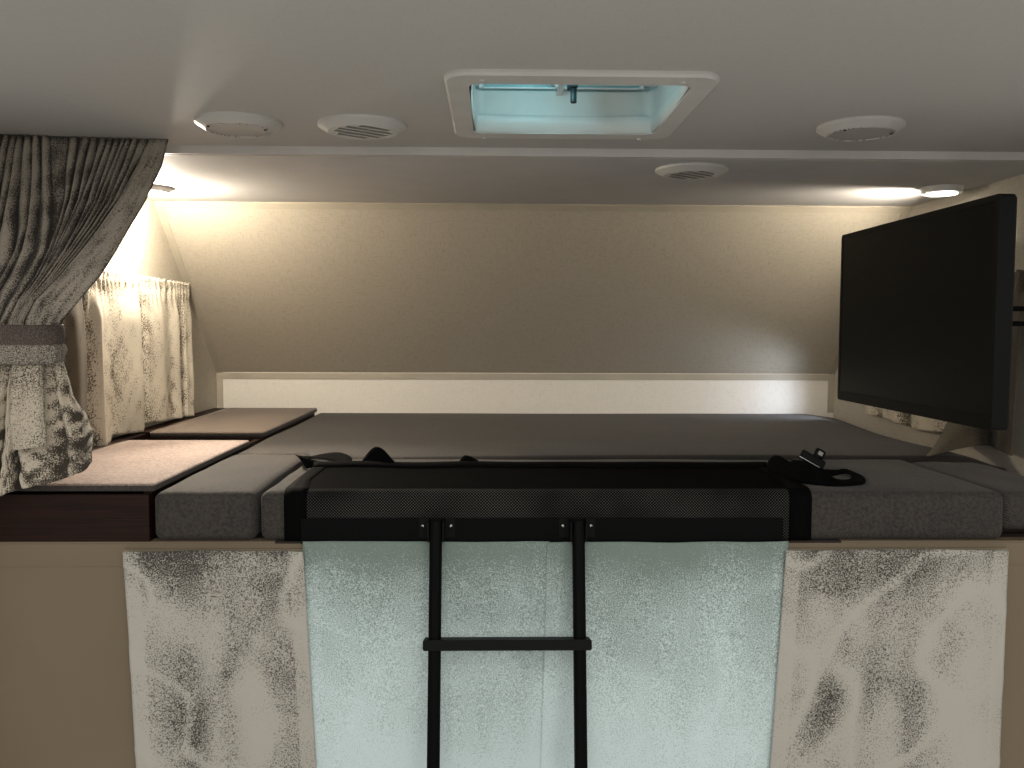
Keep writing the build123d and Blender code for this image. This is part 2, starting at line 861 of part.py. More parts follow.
with BuildPart() as ladder_rails:
    for x in ladder_rails_x:
        with BuildSketch(ladder_frame.offset(-ladder_length + foot_height / 2)):
            with Locations((x, 0)):
                rail_section()
                with Locations((0, -rail_deep / 2 + groove_deep / 2)):
                    Rectangle(groove_width, groove_deep, mode=Mode.SUBTRACT)
                with Locations((0, rail_deep / 2 - groove_deep / 2)):
                    Rectangle(groove_width, groove_deep, mode=Mode.SUBTRACT)
        extrude(amount=ladder_length - foot_height / 2 + ladder_top_rise)
    with BuildSketch(Plane.YZ.offset(ladder_middle - ladder_spacing)):
        with Locations((ladder_pin_y, ladder_pin_z)):
            Circle(pin_radius + pin_fit)
    extrude(amount=2 * ladder_spacing, mode=Mode.SUBTRACT)
write(ladder_rails.part, "ladder_rails")

with BuildPart() as ladder_rungs:
    for number in range(rung_count):
        drop = (ladder_pin_z - first_rung_z + number * rung_spacing) / cos(lean)
        with BuildSketch(ladder_frame.offset(-drop - rung_height / 2)):
            with Locations((0, -rung_shift)):
                Rectangle(rung_length, rung_deep)
        extrude(amount=rung_height)
    chamfer(ladder_rungs.faces().filter_by(Axis.X).edges(), rung_bevel)
    for x in ladder_rails_x:
        with BuildSketch(ladder_frame.offset(-ladder_length)):
            with Locations((x, 0)):
                Rectangle(rail_side, rail_deep)
        extrude(amount=ladder_length, mode=Mode.SUBTRACT)
write(ladder_rungs.part, "ladder_rungs")

with BuildPart() as ladder_feet:
    for x in ladder_rails_x:
        with BuildSketch(ladder_frame.offset(-ladder_length - foot_height)) as foot_outline:
            with Locations((x, 0)):
                Rectangle(rail_side + 2 * foot_wall, rail_deep + 2 * foot_wall)
            chamfer(foot_outline.vertices(), rail_corner / 2)
        extrude(amount=2 * foot_height)
        with BuildSketch(ladder_frame.offset(-ladder_length + foot_height / 2)):
            with Locations((x, 0)):
                rail_section()
        extrude(amount=foot_height, mode=Mode.SUBTRACT)
    split(bisect_by=Plane.XY, keep=Keep.TOP)
write(ladder_feet.part, "ladder_feet")

# Television on its swing arm, screen towards the left
tv_width = 732
tv_height = 432
tv_wall_reach = 420
tv_middle_y = 211
tv_rise = 358
tv_case = 34
tv_back = 30
tv_back_margin = 90
tv_bezel = 12
tv_chin = 24
tv_recess = 2
tv_glass_drop = 0.8
tv_corner = 6
tv_back_corner = 20
tv_back_draft = 10
tv_back_bevel = 4
tv_head_thick = 6
tv_head_size = 200
tv_pivot_radius = 11
tv_pivot_height = 90
tv_pivot_fit = 0.08
tv_pin_radius = 6
tv_pivot_gap = 14
tv_arm_height = 44
tv_arm_thick = 20
tv_arm_solid_end = 30
tv_wall_pivot_gap = 34
tv_plate_width = 70
tv_plate_height = 220
tv_plate_thick = 8

tv_z = bed_top + tv_rise
tv_screen_x = half_width - tv_wall_reach
tv_back_x = tv_screen_x + tv_case + tv_back
tv_pivot_x = tv_back_x + tv_head_thick + tv_pivot_gap
tv_wall_pivot_x = half_width - tv_wall_pivot_gap


def tv_block(x, thick, size, corner, lift=0, taper=0, mode=Mode.ADD):
    """Adds a rectangle with cut corners facing the screen's way, thick along X from x."""
    with BuildSketch(Plane.YZ.offset(x)) as outline:
        with Locations((tv_middle_y, tv_z + lift)):
            Rectangle(size[0], size[1])
        if corner:
            chamfer(outline.vertices(), corner)
    extrude(outline.sketch, amount=thick, taper=taper, mode=mode)


tv_glass = (tv_width - 2 * tv_bezel, tv_height - tv_bezel - tv_chin)
tv_glass_lift = (tv_chin - tv_bezel) / 2

with BuildPart() as tv_body:
    tv_block(tv_screen_x, tv_case, (tv_width, tv_height), tv_corner)
    chamfer(tv_body.faces().sort_by(Axis.X)[-1].edges(), tv_back_bevel)
    tv_back_size = (tv_width - 2 * tv_back_margin, tv_height - 2 * tv_back_margin)
    tv_block(tv_screen_x + tv_case, tv_back, tv_back_size, tv_back_corner, taper=tv_back_draft)
    tv_block(tv_screen_x, tv_recess, tv_glass, 0, lift=tv_glass_lift, mode=Mode.SUBTRACT)
write(tv_body.part, "tv_body")

with BuildPart() as tv_screen:
    glass_size = (tv_glass[0] - touch, tv_glass[1] - touch)
    glass_thick = tv_recess - tv_glass_drop
    tv_block(tv_screen_x + tv_glass_drop, glass_thick, glass_size, 0, lift=tv_glass_lift)
write(tv_screen.part, "tv_screen")


def upright_pin(x, y, z, radius, mode=Mode.ADD):
    """Adds a round bar that stands between two heights."""
    with BuildSketch(Plane.XY.offset(z[0])) as outline:
        with Locations((x, y)):
            Circle(radius)
    extrude(outline.sketch, amount=z[1] - z[0], mode=mode)


arm_z = (tv_z - tv_arm_height / 2, tv_z + tv_arm_height / 2)
fork_z = (tv_z - tv_pivot_height / 2, tv_z + tv_pivot_height / 2)
fork_gap = 1

with BuildPart() as tv_head:
    slab(
        (tv_back_x, tv_back_x + tv_head_thick),
        (tv_middle_y - tv_head_size / 2, tv_middle_y + tv_head_size / 2),
        (tv_z - tv_head_size / 2, tv_z + tv_head_size / 2),
    )
    for z in ((fork_z[0], arm_z[0] - fork_gap), (arm_z[1] + fork_gap, fork_z[1])):
        slab(
            (tv_back_x + tv_head_thick, tv_pivot_x + tv_pivot_radius),
            (tv_middle_y - tv_pivot_radius, tv_middle_y + tv_pivot_radius),
            z,
        )
    upright_pin(tv_pivot_x, tv_middle_y, fork_z, tv_pin_radius)
write(tv_head.part, "tv_head")

with BuildPart() as tv_arm:
    for x in (tv_pivot_x, tv_wall_pivot_x):
        upright_pin(x, tv_middle_y, arm_z, tv_pivot_radius)
    slab(
        (tv_pivot_x, tv_wall_pivot_x),
        (tv_middle_y - tv_arm_thick / 2, tv_middle_y + tv_arm_thick / 2),
        (tv_z - tv_arm_height / 2, tv_z + tv_arm_height / 2),
    )
    slab(
        (tv_pivot_x + tv_arm_solid_end, tv_wall_pivot_x - tv_arm_solid_end),
        (tv_middle_y - tv_arm_thick, tv_middle_y + tv_arm_thick),
        (tv_z - tv_arm_height / 4, tv_z + tv_arm_height / 4),
        mode=Mode.SUBTRACT,
    )
    for x in (tv_pivot_x, tv_wall_pivot_x):
        upright_pin(x, tv_middle_y, arm_z, tv_pin_radius + tv_pivot_fit, mode=Mode.SUBTRACT)
write(tv_arm.part, "tv_arm")

with BuildPart() as tv_wall_plate:
    slab(
        (half_width - tv_plate_thick, half_width),
        (tv_middle_y - tv_plate_width / 2, tv_middle_y + tv_plate_width / 2),
        (tv_z - tv_plate_height / 2, tv_z + tv_plate_height / 2),
    )
    for z in ((fork_z[0], arm_z[0] - fork_gap), (arm_z[1] + fork_gap, fork_z[1])):
        slab(
            (tv_wall_pivot_x - tv_pivot_radius, half_width - tv_plate_thick),
            (tv_middle_y - tv_pivot_radius, tv_middle_y + tv_pivot_radius),
            z,
        )
    upright_pin(tv_wall_pivot_x, tv_middle_y, fork_z, tv_pin_radius)
write(tv_wall_plate.part, "tv_wall_plate")

# Berth curtain: gathered under the ceiling, drawn to the left wall by a tie-back
tie_rise = 258
tie_height = 72
tie_thick = 3
tie_wall_gap = 5
curtain_folds = 5
curtain_cloth = 5
curtain_depth_share = 0.145
curtain_turn_share = 0.12
curtain_head_width = 347
curtain_tie_width = 243
curtain_hem_width = 288
curtain_hem_drop = 24

tie_z = bed_top + tie_rise
curtain_left = -half_width + tie_wall_gap
curtain_sections = (
    # height, width from the wall, middle Y at the left end
    (ceiling_z - touch, curtain_head_width, 182),
    (tie_z + tie_height, curtain_tie_width, -67),
    (tie_z, curtain_tie_width, -67),
    (near_top - curtain_hem_drop, curtain_hem_width, -82),
)


def folded_outline(width, y_left):
    """Closed outline of a folded sheet, zigzagging round a line that turns a little forward."""
    front = []
    back = []
    span = width - tie_wall_gap
    for number in range(2 * curtain_folds + 1):
        share = number / (2 * curtain_folds)
        swing = span * curtain_depth_share / 2 * (1 if number % 2 else -1)
        x = curtain_left + span * share
        y = y_left + span * curtain_turn_share * share + swing
        front.append((x, y - curtain_cloth / 2))
        back.append((x, y + curtain_cloth / 2))
    return front + back[::-1]


with BuildPart() as berth_curtain:
    for upper, lower in zip(curtain_sections, curtain_sections[1:]):
        for z, width, y_left in (upper, lower):
            with BuildSketch(Plane.XY.offset(z)):
                with BuildLine():
                    Polyline(*folded_outline(width, y_left), close=True)
                make_face()
        loft(ruled=True)
write(berth_curtain.part, "berth_curtain")

with BuildPart() as curtain_tieback:
    tie_right = -half_width + curtain_tie_width
    tie_span = curtain_tie_width - tie_wall_gap
    tie_reach = (tie_span * curtain_depth_share + curtain_cloth) / 2 + touch
    tie_y_left = curtain_sections[1][2]
    tie_y_right = tie_y_left + tie_span * curtain_turn_share
    tie_y = (tie_y_left - tie_reach, tie_y_right + tie_reach)
    slab(
        (-half_width + touch, tie_right + touch + tie_thick),
        (tie_y[0] - tie_thick, tie_y[1] + tie_thick),
        (tie_z, tie_z + tie_height),
    )
    slab(
        (curtain_left - touch, tie_right + touch),
        tie_y,
        (tie_z, tie_z + tie_height),
        mode=Mode.SUBTRACT,
    )
    fillet(curtain_tieback.edges().filter_by(Axis.Z).group_by(Axis.X)[-1], tie_thick * 2)
write(curtain_tieback.part, "curtain_tieback")

# Pleated curtains: in front of the side windows and across the way through to the cab
cloth_thick = 2
pleat_pitch = 112


def pleats(start, end, depth):
    """Closed outline of a pleated sheet from start to end along x, waving by depth along y."""
    count = round((end - start) / pleat_pitch)
    step = (end - start) / (2 * count)
    for shift in (0, cloth_thick):
        bends = []
        for number in range(2 * count):
            swing = depth / 2 if number % 2 else -depth / 2
            bends.append((start + (number + 0.25) * step, shift + swing))
            bends.append((start + (number + 0.75) * step, shift + swing))
        Polyline((start, shift), *bends, (end, shift))
    Line((start, 0), (start, cloth_thick))
    Line((end, 0), (end, cloth_thick))


window_curtain_aft = 405
window_curtain_nose_gap = 361
window_curtain_drop = 446
window_curtain_foot = far_top + lid_end_setback
window_curtain_y = (window_curtain_aft, berth_depth - window_curtain_nose_gap)
window_curtain_z = (window_curtain_foot, window_curtain_foot + window_curtain_drop)
window_curtain_depth = 14
rod_radius = 5
rod_off = 14
rod_overlap = 12
rod_drop = 16
rod_bracket_width = 10
window_curtain_off = rod_off + rod_radius + touch + window_curtain_depth / 2
with BuildPart() as window_curtains:
    for hand in (-1, 1):
        cloth_plane = Plane(
            origin=(hand * (half_width - window_curtain_off), 0, window_curtain_z[0]),
            x_dir=(0, hand, 0),
            z_dir=(0, 0, 1),
        )
        start, end = sorted(hand * y for y in window_curtain_y)
        with BuildSketch(cloth_plane):
            with BuildLine():
                pleats(start, end, window_curtain_depth)
            make_face()
        extrude(amount=window_curtain_z[1] - window_curtain_z[0])
write(window_curtains.part, "window_curtains")

with BuildPart() as window_curtain_rods:
    for hand in (-1, 1):
        rod_x = hand * (half_width - rod_off)
        rod_z = window_curtain_z[1] - rod_drop
        with BuildSketch(Plane.XZ.offset(-window_curtain_y[1] - rod_overlap)):
            with Locations((rod_x, rod_z)):
                Circle(rod_radius)
        extrude(amount=window_curtain_y[1] - window_curtain_y[0] + 2 * rod_overlap)
        for y in (window_curtain_y[0] - rod_overlap, window_curtain_y[1] + rod_overlap - rod_bracket_width):
            bracket_z = (rod_z - rod_radius, rod_z + rod_radius)
            slab((rod_x, hand * half_width), (y, y + rod_bracket_width), bracket_z)
write(window_curtain_rods.part, "window_curtain_rods")

cab_track_drop = 13
cab_track_height = 14
cab_track_z = (deck_top - cab_track_drop - cab_track_height, deck_top - cab_track_drop)
cab_track_x = (-866, 905)
cab_track_thick = 10
cab_curtain_foot = 120
centre_curtains = ((-503, -22), (-16, 446))
side_curtains = ((-858, -506), (449, 897))
centre_curtain_depth = 4
centre_curtain_rise = 2
centre_curtain_top = deck_top + centre_curtain_rise
centre_curtain_y = -cab_track_thick - touch - cloth_thick - centre_curtain_depth / 2
side_curtain_depth = 12
side_curtain_drop = 12
side_curtain_top = deck_top - side_curtain_drop
side_curtain_y = -cab_track_thick - touch - cloth_thick - side_curtain_depth / 2

with BuildPart() as cab_curtain_track:
    slab(cab_track_x, (-cab_track_thick, 0), cab_track_z)
write(cab_curtain_track.part, "cab_curtain_track")

for name, curtains, y, depth, top in (
    ("cab_curtains_centre", centre_curtains, centre_curtain_y, centre_curtain_depth, centre_curtain_top),
    ("cab_curtains_side", side_curtains, side_curtain_y, side_curtain_depth, side_curtain_top),
):
    with BuildPart() as cab_curtains:
        for start, end in curtains:
            with BuildSketch(Plane(origin=(0, y, cab_curtain_foot), x_dir=(1, 0, 0), z_dir=(0, 0, 1))):
                with BuildLine():
                    pleats(start, end, depth)
                make_face()
            extrude(amount=top - cab_curtain_foot)
    write(cab_curtains.part, name)
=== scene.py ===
"""Finishes, soft goods, small fittings, light and camera for the over-cab berth section."""

import logging
import math
from collections.abc import Callable
from dataclasses import dataclass, field
from enum import Enum

import bpy
import numpy as np
from mathutils import Matrix, Vector


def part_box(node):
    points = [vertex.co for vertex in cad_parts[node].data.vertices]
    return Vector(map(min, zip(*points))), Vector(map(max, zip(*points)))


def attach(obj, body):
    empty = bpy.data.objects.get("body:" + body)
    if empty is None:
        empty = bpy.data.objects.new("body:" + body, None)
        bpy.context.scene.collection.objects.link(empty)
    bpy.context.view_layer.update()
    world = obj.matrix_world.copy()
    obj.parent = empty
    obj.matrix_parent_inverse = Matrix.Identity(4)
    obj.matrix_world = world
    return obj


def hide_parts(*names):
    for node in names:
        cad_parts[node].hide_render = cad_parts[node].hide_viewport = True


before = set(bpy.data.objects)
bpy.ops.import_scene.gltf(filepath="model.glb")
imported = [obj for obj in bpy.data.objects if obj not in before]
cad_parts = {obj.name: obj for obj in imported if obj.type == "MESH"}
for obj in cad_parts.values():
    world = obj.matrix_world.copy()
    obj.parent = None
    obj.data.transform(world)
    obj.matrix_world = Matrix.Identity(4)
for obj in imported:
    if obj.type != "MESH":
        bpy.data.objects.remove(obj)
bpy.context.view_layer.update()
LOG = logging.getLogger("berth")

Colour = tuple[float, float, float, float]
Point = tuple[float, float, float]
Faces = list[tuple[int, ...]]
Mesh = tuple[np.ndarray, Faces]
Pairs = tuple[tuple[float, float], ...]
Table = tuple[tuple[float, ...], ...]
Tree = bpy.types.NodeTree
Node = bpy.types.Node
Socket = bpy.types.NodeSocket
Piece = bpy.types.Object
Sockets = dict[str | int, object]

MM = 0.001
PHOTO_WIDTH = 1024
SENSOR_WIDTH = 36.0
# How far the side walls' inner faces are from the middle
WALL = 1.2
# How many grid lines cross a rounded edge
BEND_LINES = 6
# Each ring of a screw head, as its radius and its height in shares of the head's radius
SCREW_OUTLINE = ((1.0, 0.0), (1.0, 0.35), (0.8, 0.6), (0.42, 0.7), (0.38, 0.45), (0.1, 0.3))
# The outer skins' colour and roughness
FIBREGLASS = ("#E9E9E6", 0.22)


class Side(Enum):
    """Which side of the berth a piece is on, as the sign of its X."""

    LEFT = -1
    RIGHT = 1


class Lay(Enum):
    """Which coordinates a woven or printed pattern follows."""

    CLOTH = "UV"
    SOLID = "Object"


def linear(code: str) -> Colour:
    """Turns an sRGB hex value to linear light.

    Args:
        code: The colour as "#RRGGBB".

    Returns:
        Red, green, blue and an alpha of 1.
    """
    channels = [int(code[start : start + 2], 16) / 255 for start in (1, 3, 5)]
    red, green, blue = (c / 12.92 if c <= 0.04045 else ((c + 0.055) / 1.055) ** 2.4 for c in channels)
    return red, green, blue, 1.0


def scaled(colour: Colour, share: float) -> Colour:
    """Returns a linear colour with its three channels times share."""
    red, green, blue, _ = colour
    return red * share, green * share, blue * share, 1.0


def feed(tree: Tree, node: Node, sockets: Sockets) -> None:
    """Sets or links a node's inputs.

    Args:
        tree: The nodes that it stands among.
        node: The node.
        sockets: An input's name or number, and its value, or the output or the node that feeds it.
            A node feeds it from its first output.
    """
    for key, value in sockets.items():
        if isinstance(value, Node):
            value = value.outputs[0]
        if isinstance(value, Socket):
            tree.links.new(value, node.inputs[key])
        else:
            node.inputs[key].default_value = value


def add_node(
    tree: Tree, kind: str, sockets: Sockets | None = None, stops: tuple[tuple[float, Colour], ...] = (),
    **settings: object,
) -> Node:
    """Adds a shader node with its settings, and sets or links its sockets.

    Args:
        tree: The material's or the world's nodes.
        kind: Blender's name for the node, without the ShaderNode that starts it.
        sockets: What its inputs take, as in feed.
        stops: The places and colours of a colour ramp.
        settings: The node's own properties.

    Returns:
        The new node.
    """
    node = tree.nodes.new(f"ShaderNode{kind}")
    for name, value in settings.items():
        setattr(node, name, value)
    feed(tree, node, sockets or {})
    if stops:
        elements = node.color_ramp.elements
        while len(elements) < len(stops):
            elements.new(0.5)
        for element, (place, colour) in zip(elements, stops):
            element.position = place
            element.color = colour
    return node


def diagonal_scale(spacing: float) -> float:
    """Returns the wave texture's scale for diagonal bands spacing metres apart."""
    return 2 * math.pi / (10 * spacing * math.sqrt(2))


@dataclass(frozen=True)
class Finish:
    """A plain surface with a fine grain, and the base of every other finish.

    A finish's name differs from the names of the frame's materials, because a material that exists is
    taken up as it is.
    """

    name: str
    colour: str
    roughness: float = 0.5
    metallic: float = 0.0
    ior: float = 1.5
    coat: float = 0.0
    sheen: float = 0.0
    grain: float = 0.6 * MM
    depth: float = 0.03 * MM
    mottle: float = 0.06
    clouds: float = 90 * MM
    lay: Lay = Lay.SOLID

    def material(self) -> bpy.types.Material:
        """Makes the material once, and returns it."""
        made = bpy.data.materials.get(self.name)
        if made:
            return made
        made = bpy.data.materials.new(self.name)
        made.use_nodes = True
        tree = made.node_tree
        tree.nodes.clear()
        sockets = {
            "Base Color": linear(self.colour),
            "Roughness": self.roughness,
            "Metallic": self.metallic,
            "IOR": self.ior,
            "Coat Weight": self.coat,
            "Sheen Weight": self.sheen,
        }
        shader = add_node(tree, "BsdfPrincipled", sockets)
        place = add_node(tree, "TexCoord").outputs[self.lay.value]
        feed(tree, shader, self.pattern(tree, place))
        add_node(tree, "OutputMaterial", {"Surface": shader})
        return made

    def pattern(self, tree: Tree, place: Socket) -> Sockets:
        """Draws the surface's colour and relief.

        Args:
            tree: The material's nodes.
            place: The coordinates that the pattern follows, in metres.

        Returns:
            What feeds the shader.
        """
        grain = add_node(tree, "TexNoise", {"Vector": place, "Scale": 1 / self.grain, "Detail": 2.0})
        return self.surface(tree, self.mottled(tree, place, self.mottle, self.clouds), grain)

    def mottled(self, tree: Tree, place: Socket, amount: float, size: float) -> Node:
        """Lets the colour wander a little from place to place.

        Args:
            tree: The material's nodes.
            place: The coordinates, in metres.
            amount: How far it wanders, as a share of its level.
            size: How wide the clouds are, in metres.

        Returns:
            The node with the colour.
        """
        low, high = (scaled(linear(self.colour), share) for share in (1 - amount, 1 + amount))
        clouds = add_node(tree, "TexNoise", {"Vector": place, "Scale": 1 / size, "Detail": 4.0})
        return add_node(tree, "ValToRGB", {"Fac": clouds}, ((0.3, low), (0.7, high)))

    def shaded(self, tree: Tree, share: Node, start: float, first: str, end: float, last: str) -> Node:
        """Turns a pattern's share to a colour.

        Args:
            tree: The material's nodes.
            share: The pattern.
            start: The share up to which the first colour shows.
            first: The first colour.
            end: The share from which the last colour shows.
            last: The last colour.

        Returns:
            The node with the colour.
        """
        return add_node(tree, "ValToRGB", {"Fac": share}, ((start, linear(first)), (end, linear(last))))

    def surface(self, tree: Tree, colour: Node | Socket, height: Node, sunk: bool = False) -> Sockets:
        """Gives the shader its colour, and raises its surface by a height pattern, or sinks it."""
        depth = -self.depth if sunk else self.depth
        bump = add_node(tree, "Bump", {"Strength": 1.0, "Distance": depth, "Height": height})
        return {"Base Color": colour, "Normal": bump}


@dataclass(frozen=True)
class TwillCloth(Finish):
    """Woven upholstery twill: diagonal ribs of two yarns, with slubs that catch the eye."""

    light: str = "#7D7164"
    rib: float = 4.2 * MM
    slub: float = 6.5 * MM
    wear_and_shade: float = 200 * MM

    def pattern(self, tree: Tree, place: Socket) -> Sockets:
        """Draws the ribs along x + y + z, which is diagonal on the top and on each side."""
        waves = {"Vector": place, "Scale": diagonal_scale(self.rib), "Distortion": 0.35, "Detail Scale": 6.0}
        ribs = add_node(tree, "TexWave", waves, wave_type="BANDS", bands_direction="DIAGONAL")
        slubs = add_node(tree, "TexNoise", {"Vector": place, "Scale": 1 / self.slub, "Detail": 3.0})
        wear_and_shade = add_node(tree, "TexNoise", {"Vector": place, "Scale": 1 / self.wear_and_shade, "Detail": 3.0})
        yarn = add_node(tree, "Math", {0: ribs, 1: slubs}, operation="MULTIPLY")
        mixed = add_node(tree, "Math", {0: slubs, 1: 0.5, 2: yarn}, operation="MULTIPLY_ADD")
        share = add_node(tree, "Math", {0: wear_and_shade, 1: 0.3, 2: mixed}, operation="MULTIPLY_ADD")
        return self.surface(tree, self.shaded(tree, share, 0.35, self.colour, 0.95, self.light), yarn)


@dataclass(frozen=True)
class CrushedVelvet(Finish):
    """Crushed velour curtain cloth: pale pile crushed over a dark ground, in speckles and patches."""

    pile: str = "#C9BDA6"
    speck: float = 3 * MM
    patch: float = 150 * MM
    cover: float = 0.5
    swing: float = 0.5
    crisp: float = 0.09
    fold_shading: float = 0.3
    fade: Point = (0.0, 1.0, 0.0)

    def pattern(self, tree: Tree, place: Socket) -> Sockets:
        """Draws speckles whose share of the cloth drifts from patch to patch, with painted light lower down
        and painted fold shade.
        """
        fine = {"Vector": place, "Scale": 1 / self.speck, "Detail": 2.0, "Roughness": 0.6}
        specks = add_node(tree, "TexNoise", fine)
        broad = {"Vector": place, "Scale": 1 / self.patch, "Detail": 3.0, "Distortion": 0.6}
        patches = add_node(tree, "TexNoise", broad)
        least = self.cover - 0.5 - 0.5 * self.swing
        drift = add_node(tree, "Math", {0: patches, 1: self.swing, 2: least}, operation="MULTIPLY_ADD")
        # Painted light: below a given height the pile share rises, so the cloth is paler towards its foot, as
        # where daylight shines through the centre curtains from behind
        height = add_node(tree, "SeparateXYZ", {0: place}).outputs["Z"]
        low, high, gain = self.fade
        reach = {"Value": height, "From Min": low, "From Max": high, "To Min": gain, "To Max": 0.0}
        spread = add_node(tree, "Math", {0: drift, 1: add_node(tree, "MapRange", reach)}, operation="ADD")
        # Painted highlight and shade: the pile is drawn pale on the folds' ridges and dark in their valleys,
        # where shade falls, with crushed patches mixed in
        shade_and_crush = add_node(tree, "Attribute", attribute_name="shade_and_crush").outputs["Fac"]
        crushed_and_shaded = add_node(tree, "Math", {0: shade_and_crush, 1: self.fold_shading, 2: spread}, operation="MULTIPLY_ADD")
        share = add_node(tree, "Math", {0: specks, 1: crushed_and_shaded}, operation="ADD")
        low, high = 0.5 - self.crisp, 0.5 + self.crisp
        return self.surface(tree, self.shaded(tree, share, low, self.colour, high, self.pile), specks)


@dataclass(frozen=True)
class LinedPanel(Finish):
    """A sandwich panel: gloss fibreglass outside, and a printed lining on the face that looks inwards."""

    lining: str = "#B9AD9A"
    fleck: str = "#8F8372"
    inward: Point = (0.0, 0.0, -1.0)
    fleck_length: float = 22 * MM
    fleck_width: float = 2.2 * MM
    fleck_share: float = 0.54
    fleck_blend: float = 0.28
    lining_roughness: float = 0.72
    outside_mottle: float = 0.02
    outside_clouds: float = 400 * MM

    def pattern(self, tree: Tree, place: Socket) -> Sockets:
        """Draws short crossing flecks on the lining, and a faint orange peel outside."""
        normal = place.node.outputs["Normal"]
        facing = add_node(tree, "VectorMath", {0: normal, 1: self.inward}, operation="DOT_PRODUCT")
        inside = add_node(tree, "Math", {0: facing.outputs["Value"], 1: 0.5}, operation="GREATER_THAN")
        fine, long = 1 / self.fleck_width, 1 / self.fleck_length
        if abs(self.inward[0]) > 0.5:
            scales = ((fine, long, fine), (fine, fine, long))
        else:
            scales = ((long, fine, fine), (fine, long, long))
        flecks = []
        for scale in scales:
            laid = add_node(tree, "Mapping", {"Vector": place, "Scale": scale}, vector_type="POINT")
            flecks.append(add_node(tree, "TexNoise", {"Vector": laid, "Scale": 1.0, "Detail": 3.0}))
        crossed = add_node(tree, "Math", dict(enumerate(flecks)), operation="MAXIMUM")
        start, end = self.fleck_share, self.fleck_share + self.fleck_blend
        printed = self.shaded(tree, crossed, start, self.lining, end, self.fleck)
        skin = self.mottled(tree, place, self.outside_mottle, self.outside_clouds)
        colour = add_node(tree, "Mix", {0: inside, 6: skin, 7: printed}, data_type="RGBA").outputs[2]
        reach = {"Value": inside, "To Min": self.roughness, "To Max": self.lining_roughness}
        return {**self.surface(tree, colour, crossed), "Roughness": add_node(tree, "MapRange", reach)}


@dataclass(frozen=True)
class GrainedVinyl(Finish):
    """Embossed vinyl: small pebbled cells with soft creases between them."""

    cell: float = 2.5 * MM
    clouds: float = 250 * MM

    def pattern(self, tree: Tree, place: Socket) -> Sockets:
        """Draws the pebbles, at the size where they still show."""
        sizes = {"Vector": place, "Scale": 1 / self.cell}
        cells = add_node(tree, "TexVoronoi", sizes, feature="DISTANCE_TO_EDGE")
        return self.surface(tree, self.mottled(tree, place, self.mottle, self.clouds), cells)


@dataclass(frozen=True)
class WoodFoil(Finish):
    """Printed cherry foil on board: long dark grain lines with a satin lacquer."""

    vein: str = "#1A0E09"
    grain_length: float = 220 * MM
    grain_width: float = 5 * MM

    def pattern(self, tree: Tree, place: Socket) -> Sockets:
        """Draws the grain along X and Y, and narrow across Z."""
        scale = (1 / self.grain_length, 1 / self.grain_length, 1 / self.grain_width)
        laid = add_node(tree, "Mapping", {"Vector": place, "Scale": scale})
        lines = {"Vector": laid, "Scale": 1.0, "Detail": 6.0, "Distortion": 1.4}
        figure = add_node(tree, "TexNoise", lines)
        return self.surface(tree, self.shaded(tree, figure, 0.35, self.vein, 0.62, self.colour), figure)


@dataclass(frozen=True)
class Webbing(Finish):
    """Woven nylon webbing: fine ribs across the tape that glint along its length."""

    rib: float = 3 * MM
    glint: float = 1.9
    lay: Lay = Lay.CLOTH

    def pattern(self, tree: Tree, place: Socket) -> Sockets:
        """Draws the ribs, twice as coarse as the real 1.5 mm so that they show."""
        waves = {"Vector": place, "Scale": diagonal_scale(self.rib), "Distortion": 0.4}
        ribs = add_node(tree, "TexWave", waves, bands_direction="DIAGONAL")
        black = linear(self.colour)
        ramp = add_node(tree, "ValToRGB", {"Fac": ribs}, ((0.1, black), (0.95, scaled(black, self.glint))))
        return self.surface(tree, ramp, ribs)


@dataclass(frozen=True)
class KnitMesh(Finish):
    """Open knitted safety mesh: black strands round small diamond holes, with the bed's grey behind."""

    behind: str = "#5B5650"
    pitch: float = 6 * MM
    lay: Lay = Lay.CLOTH

    def pattern(self, tree: Tree, place: Socket) -> Sockets:
        """Draws the diamonds a little larger than the real 4 mm, so that they show."""
        turned = add_node(tree, "Mapping", {"Vector": place, "Scale": (1.0, -1.0, 1.0)})
        waves = []
        for way in (place, turned):
            lines = {"Vector": way, "Scale": diagonal_scale(self.pitch / math.sqrt(2)), "Distortion": 0.0}
            waves.append(add_node(tree, "TexWave", lines, bands_direction="DIAGONAL"))
        holes = add_node(tree, "Math", dict(enumerate(waves)), operation="MULTIPLY")
        pull = add_node(tree, "TexNoise", {"Vector": place, "Scale": 6.0, "Detail": 2.0})
        open_share = add_node(tree, "Math", {0: holes, 1: pull}, operation="MULTIPLY")
        colour = self.shaded(tree, open_share, 0.14, self.colour, 0.42, self.behind)
        return self.surface(tree, colour, holes, sunk=True)


@dataclass(frozen=True)
class PerforatedCover(Finish):
    """Moulded speaker cover with a field of small holes in its middle."""

    centres: Pairs = ()
    hole_field: float = 66 * MM
    pitch: float = 6 * MM
    hole_share: float = 0.3
    hole: str = "#3A3936"

    def pattern(self, tree: Tree, place: Socket) -> Sockets:
        """Draws the holes inside a circle round the nearer of the two covers' middles."""
        spacing = {"Vector": place, "Scale": 1 / self.pitch, "Randomness": 0.0}
        dots = add_node(tree, "TexVoronoi", spacing, voronoi_dimensions="2D")
        flat = add_node(tree, "VectorMath", {0: place, 1: (1.0, 1.0, 0.0)}, operation="MULTIPLY")
        away = [
            add_node(tree, "VectorMath", {0: flat, 1: (x, y, 0.0)}, operation="DISTANCE").outputs["Value"]
            for x, y in self.centres
        ]
        near = add_node(tree, "Math", dict(enumerate(away)), operation="MINIMUM")
        inside = add_node(tree, "Math", {0: near, 1: self.hole_field}, operation="LESS_THAN")
        dot = add_node(tree, "Math", {0: dots, 1: self.hole_share}, operation="LESS_THAN")
        share = add_node(tree, "Math", {0: dot, 1: inside}, operation="MULTIPLY")
        colour = self.shaded(tree, share, 0.0, self.colour, 1.0, self.hole)
        return self.surface(tree, colour, share, sunk=True)


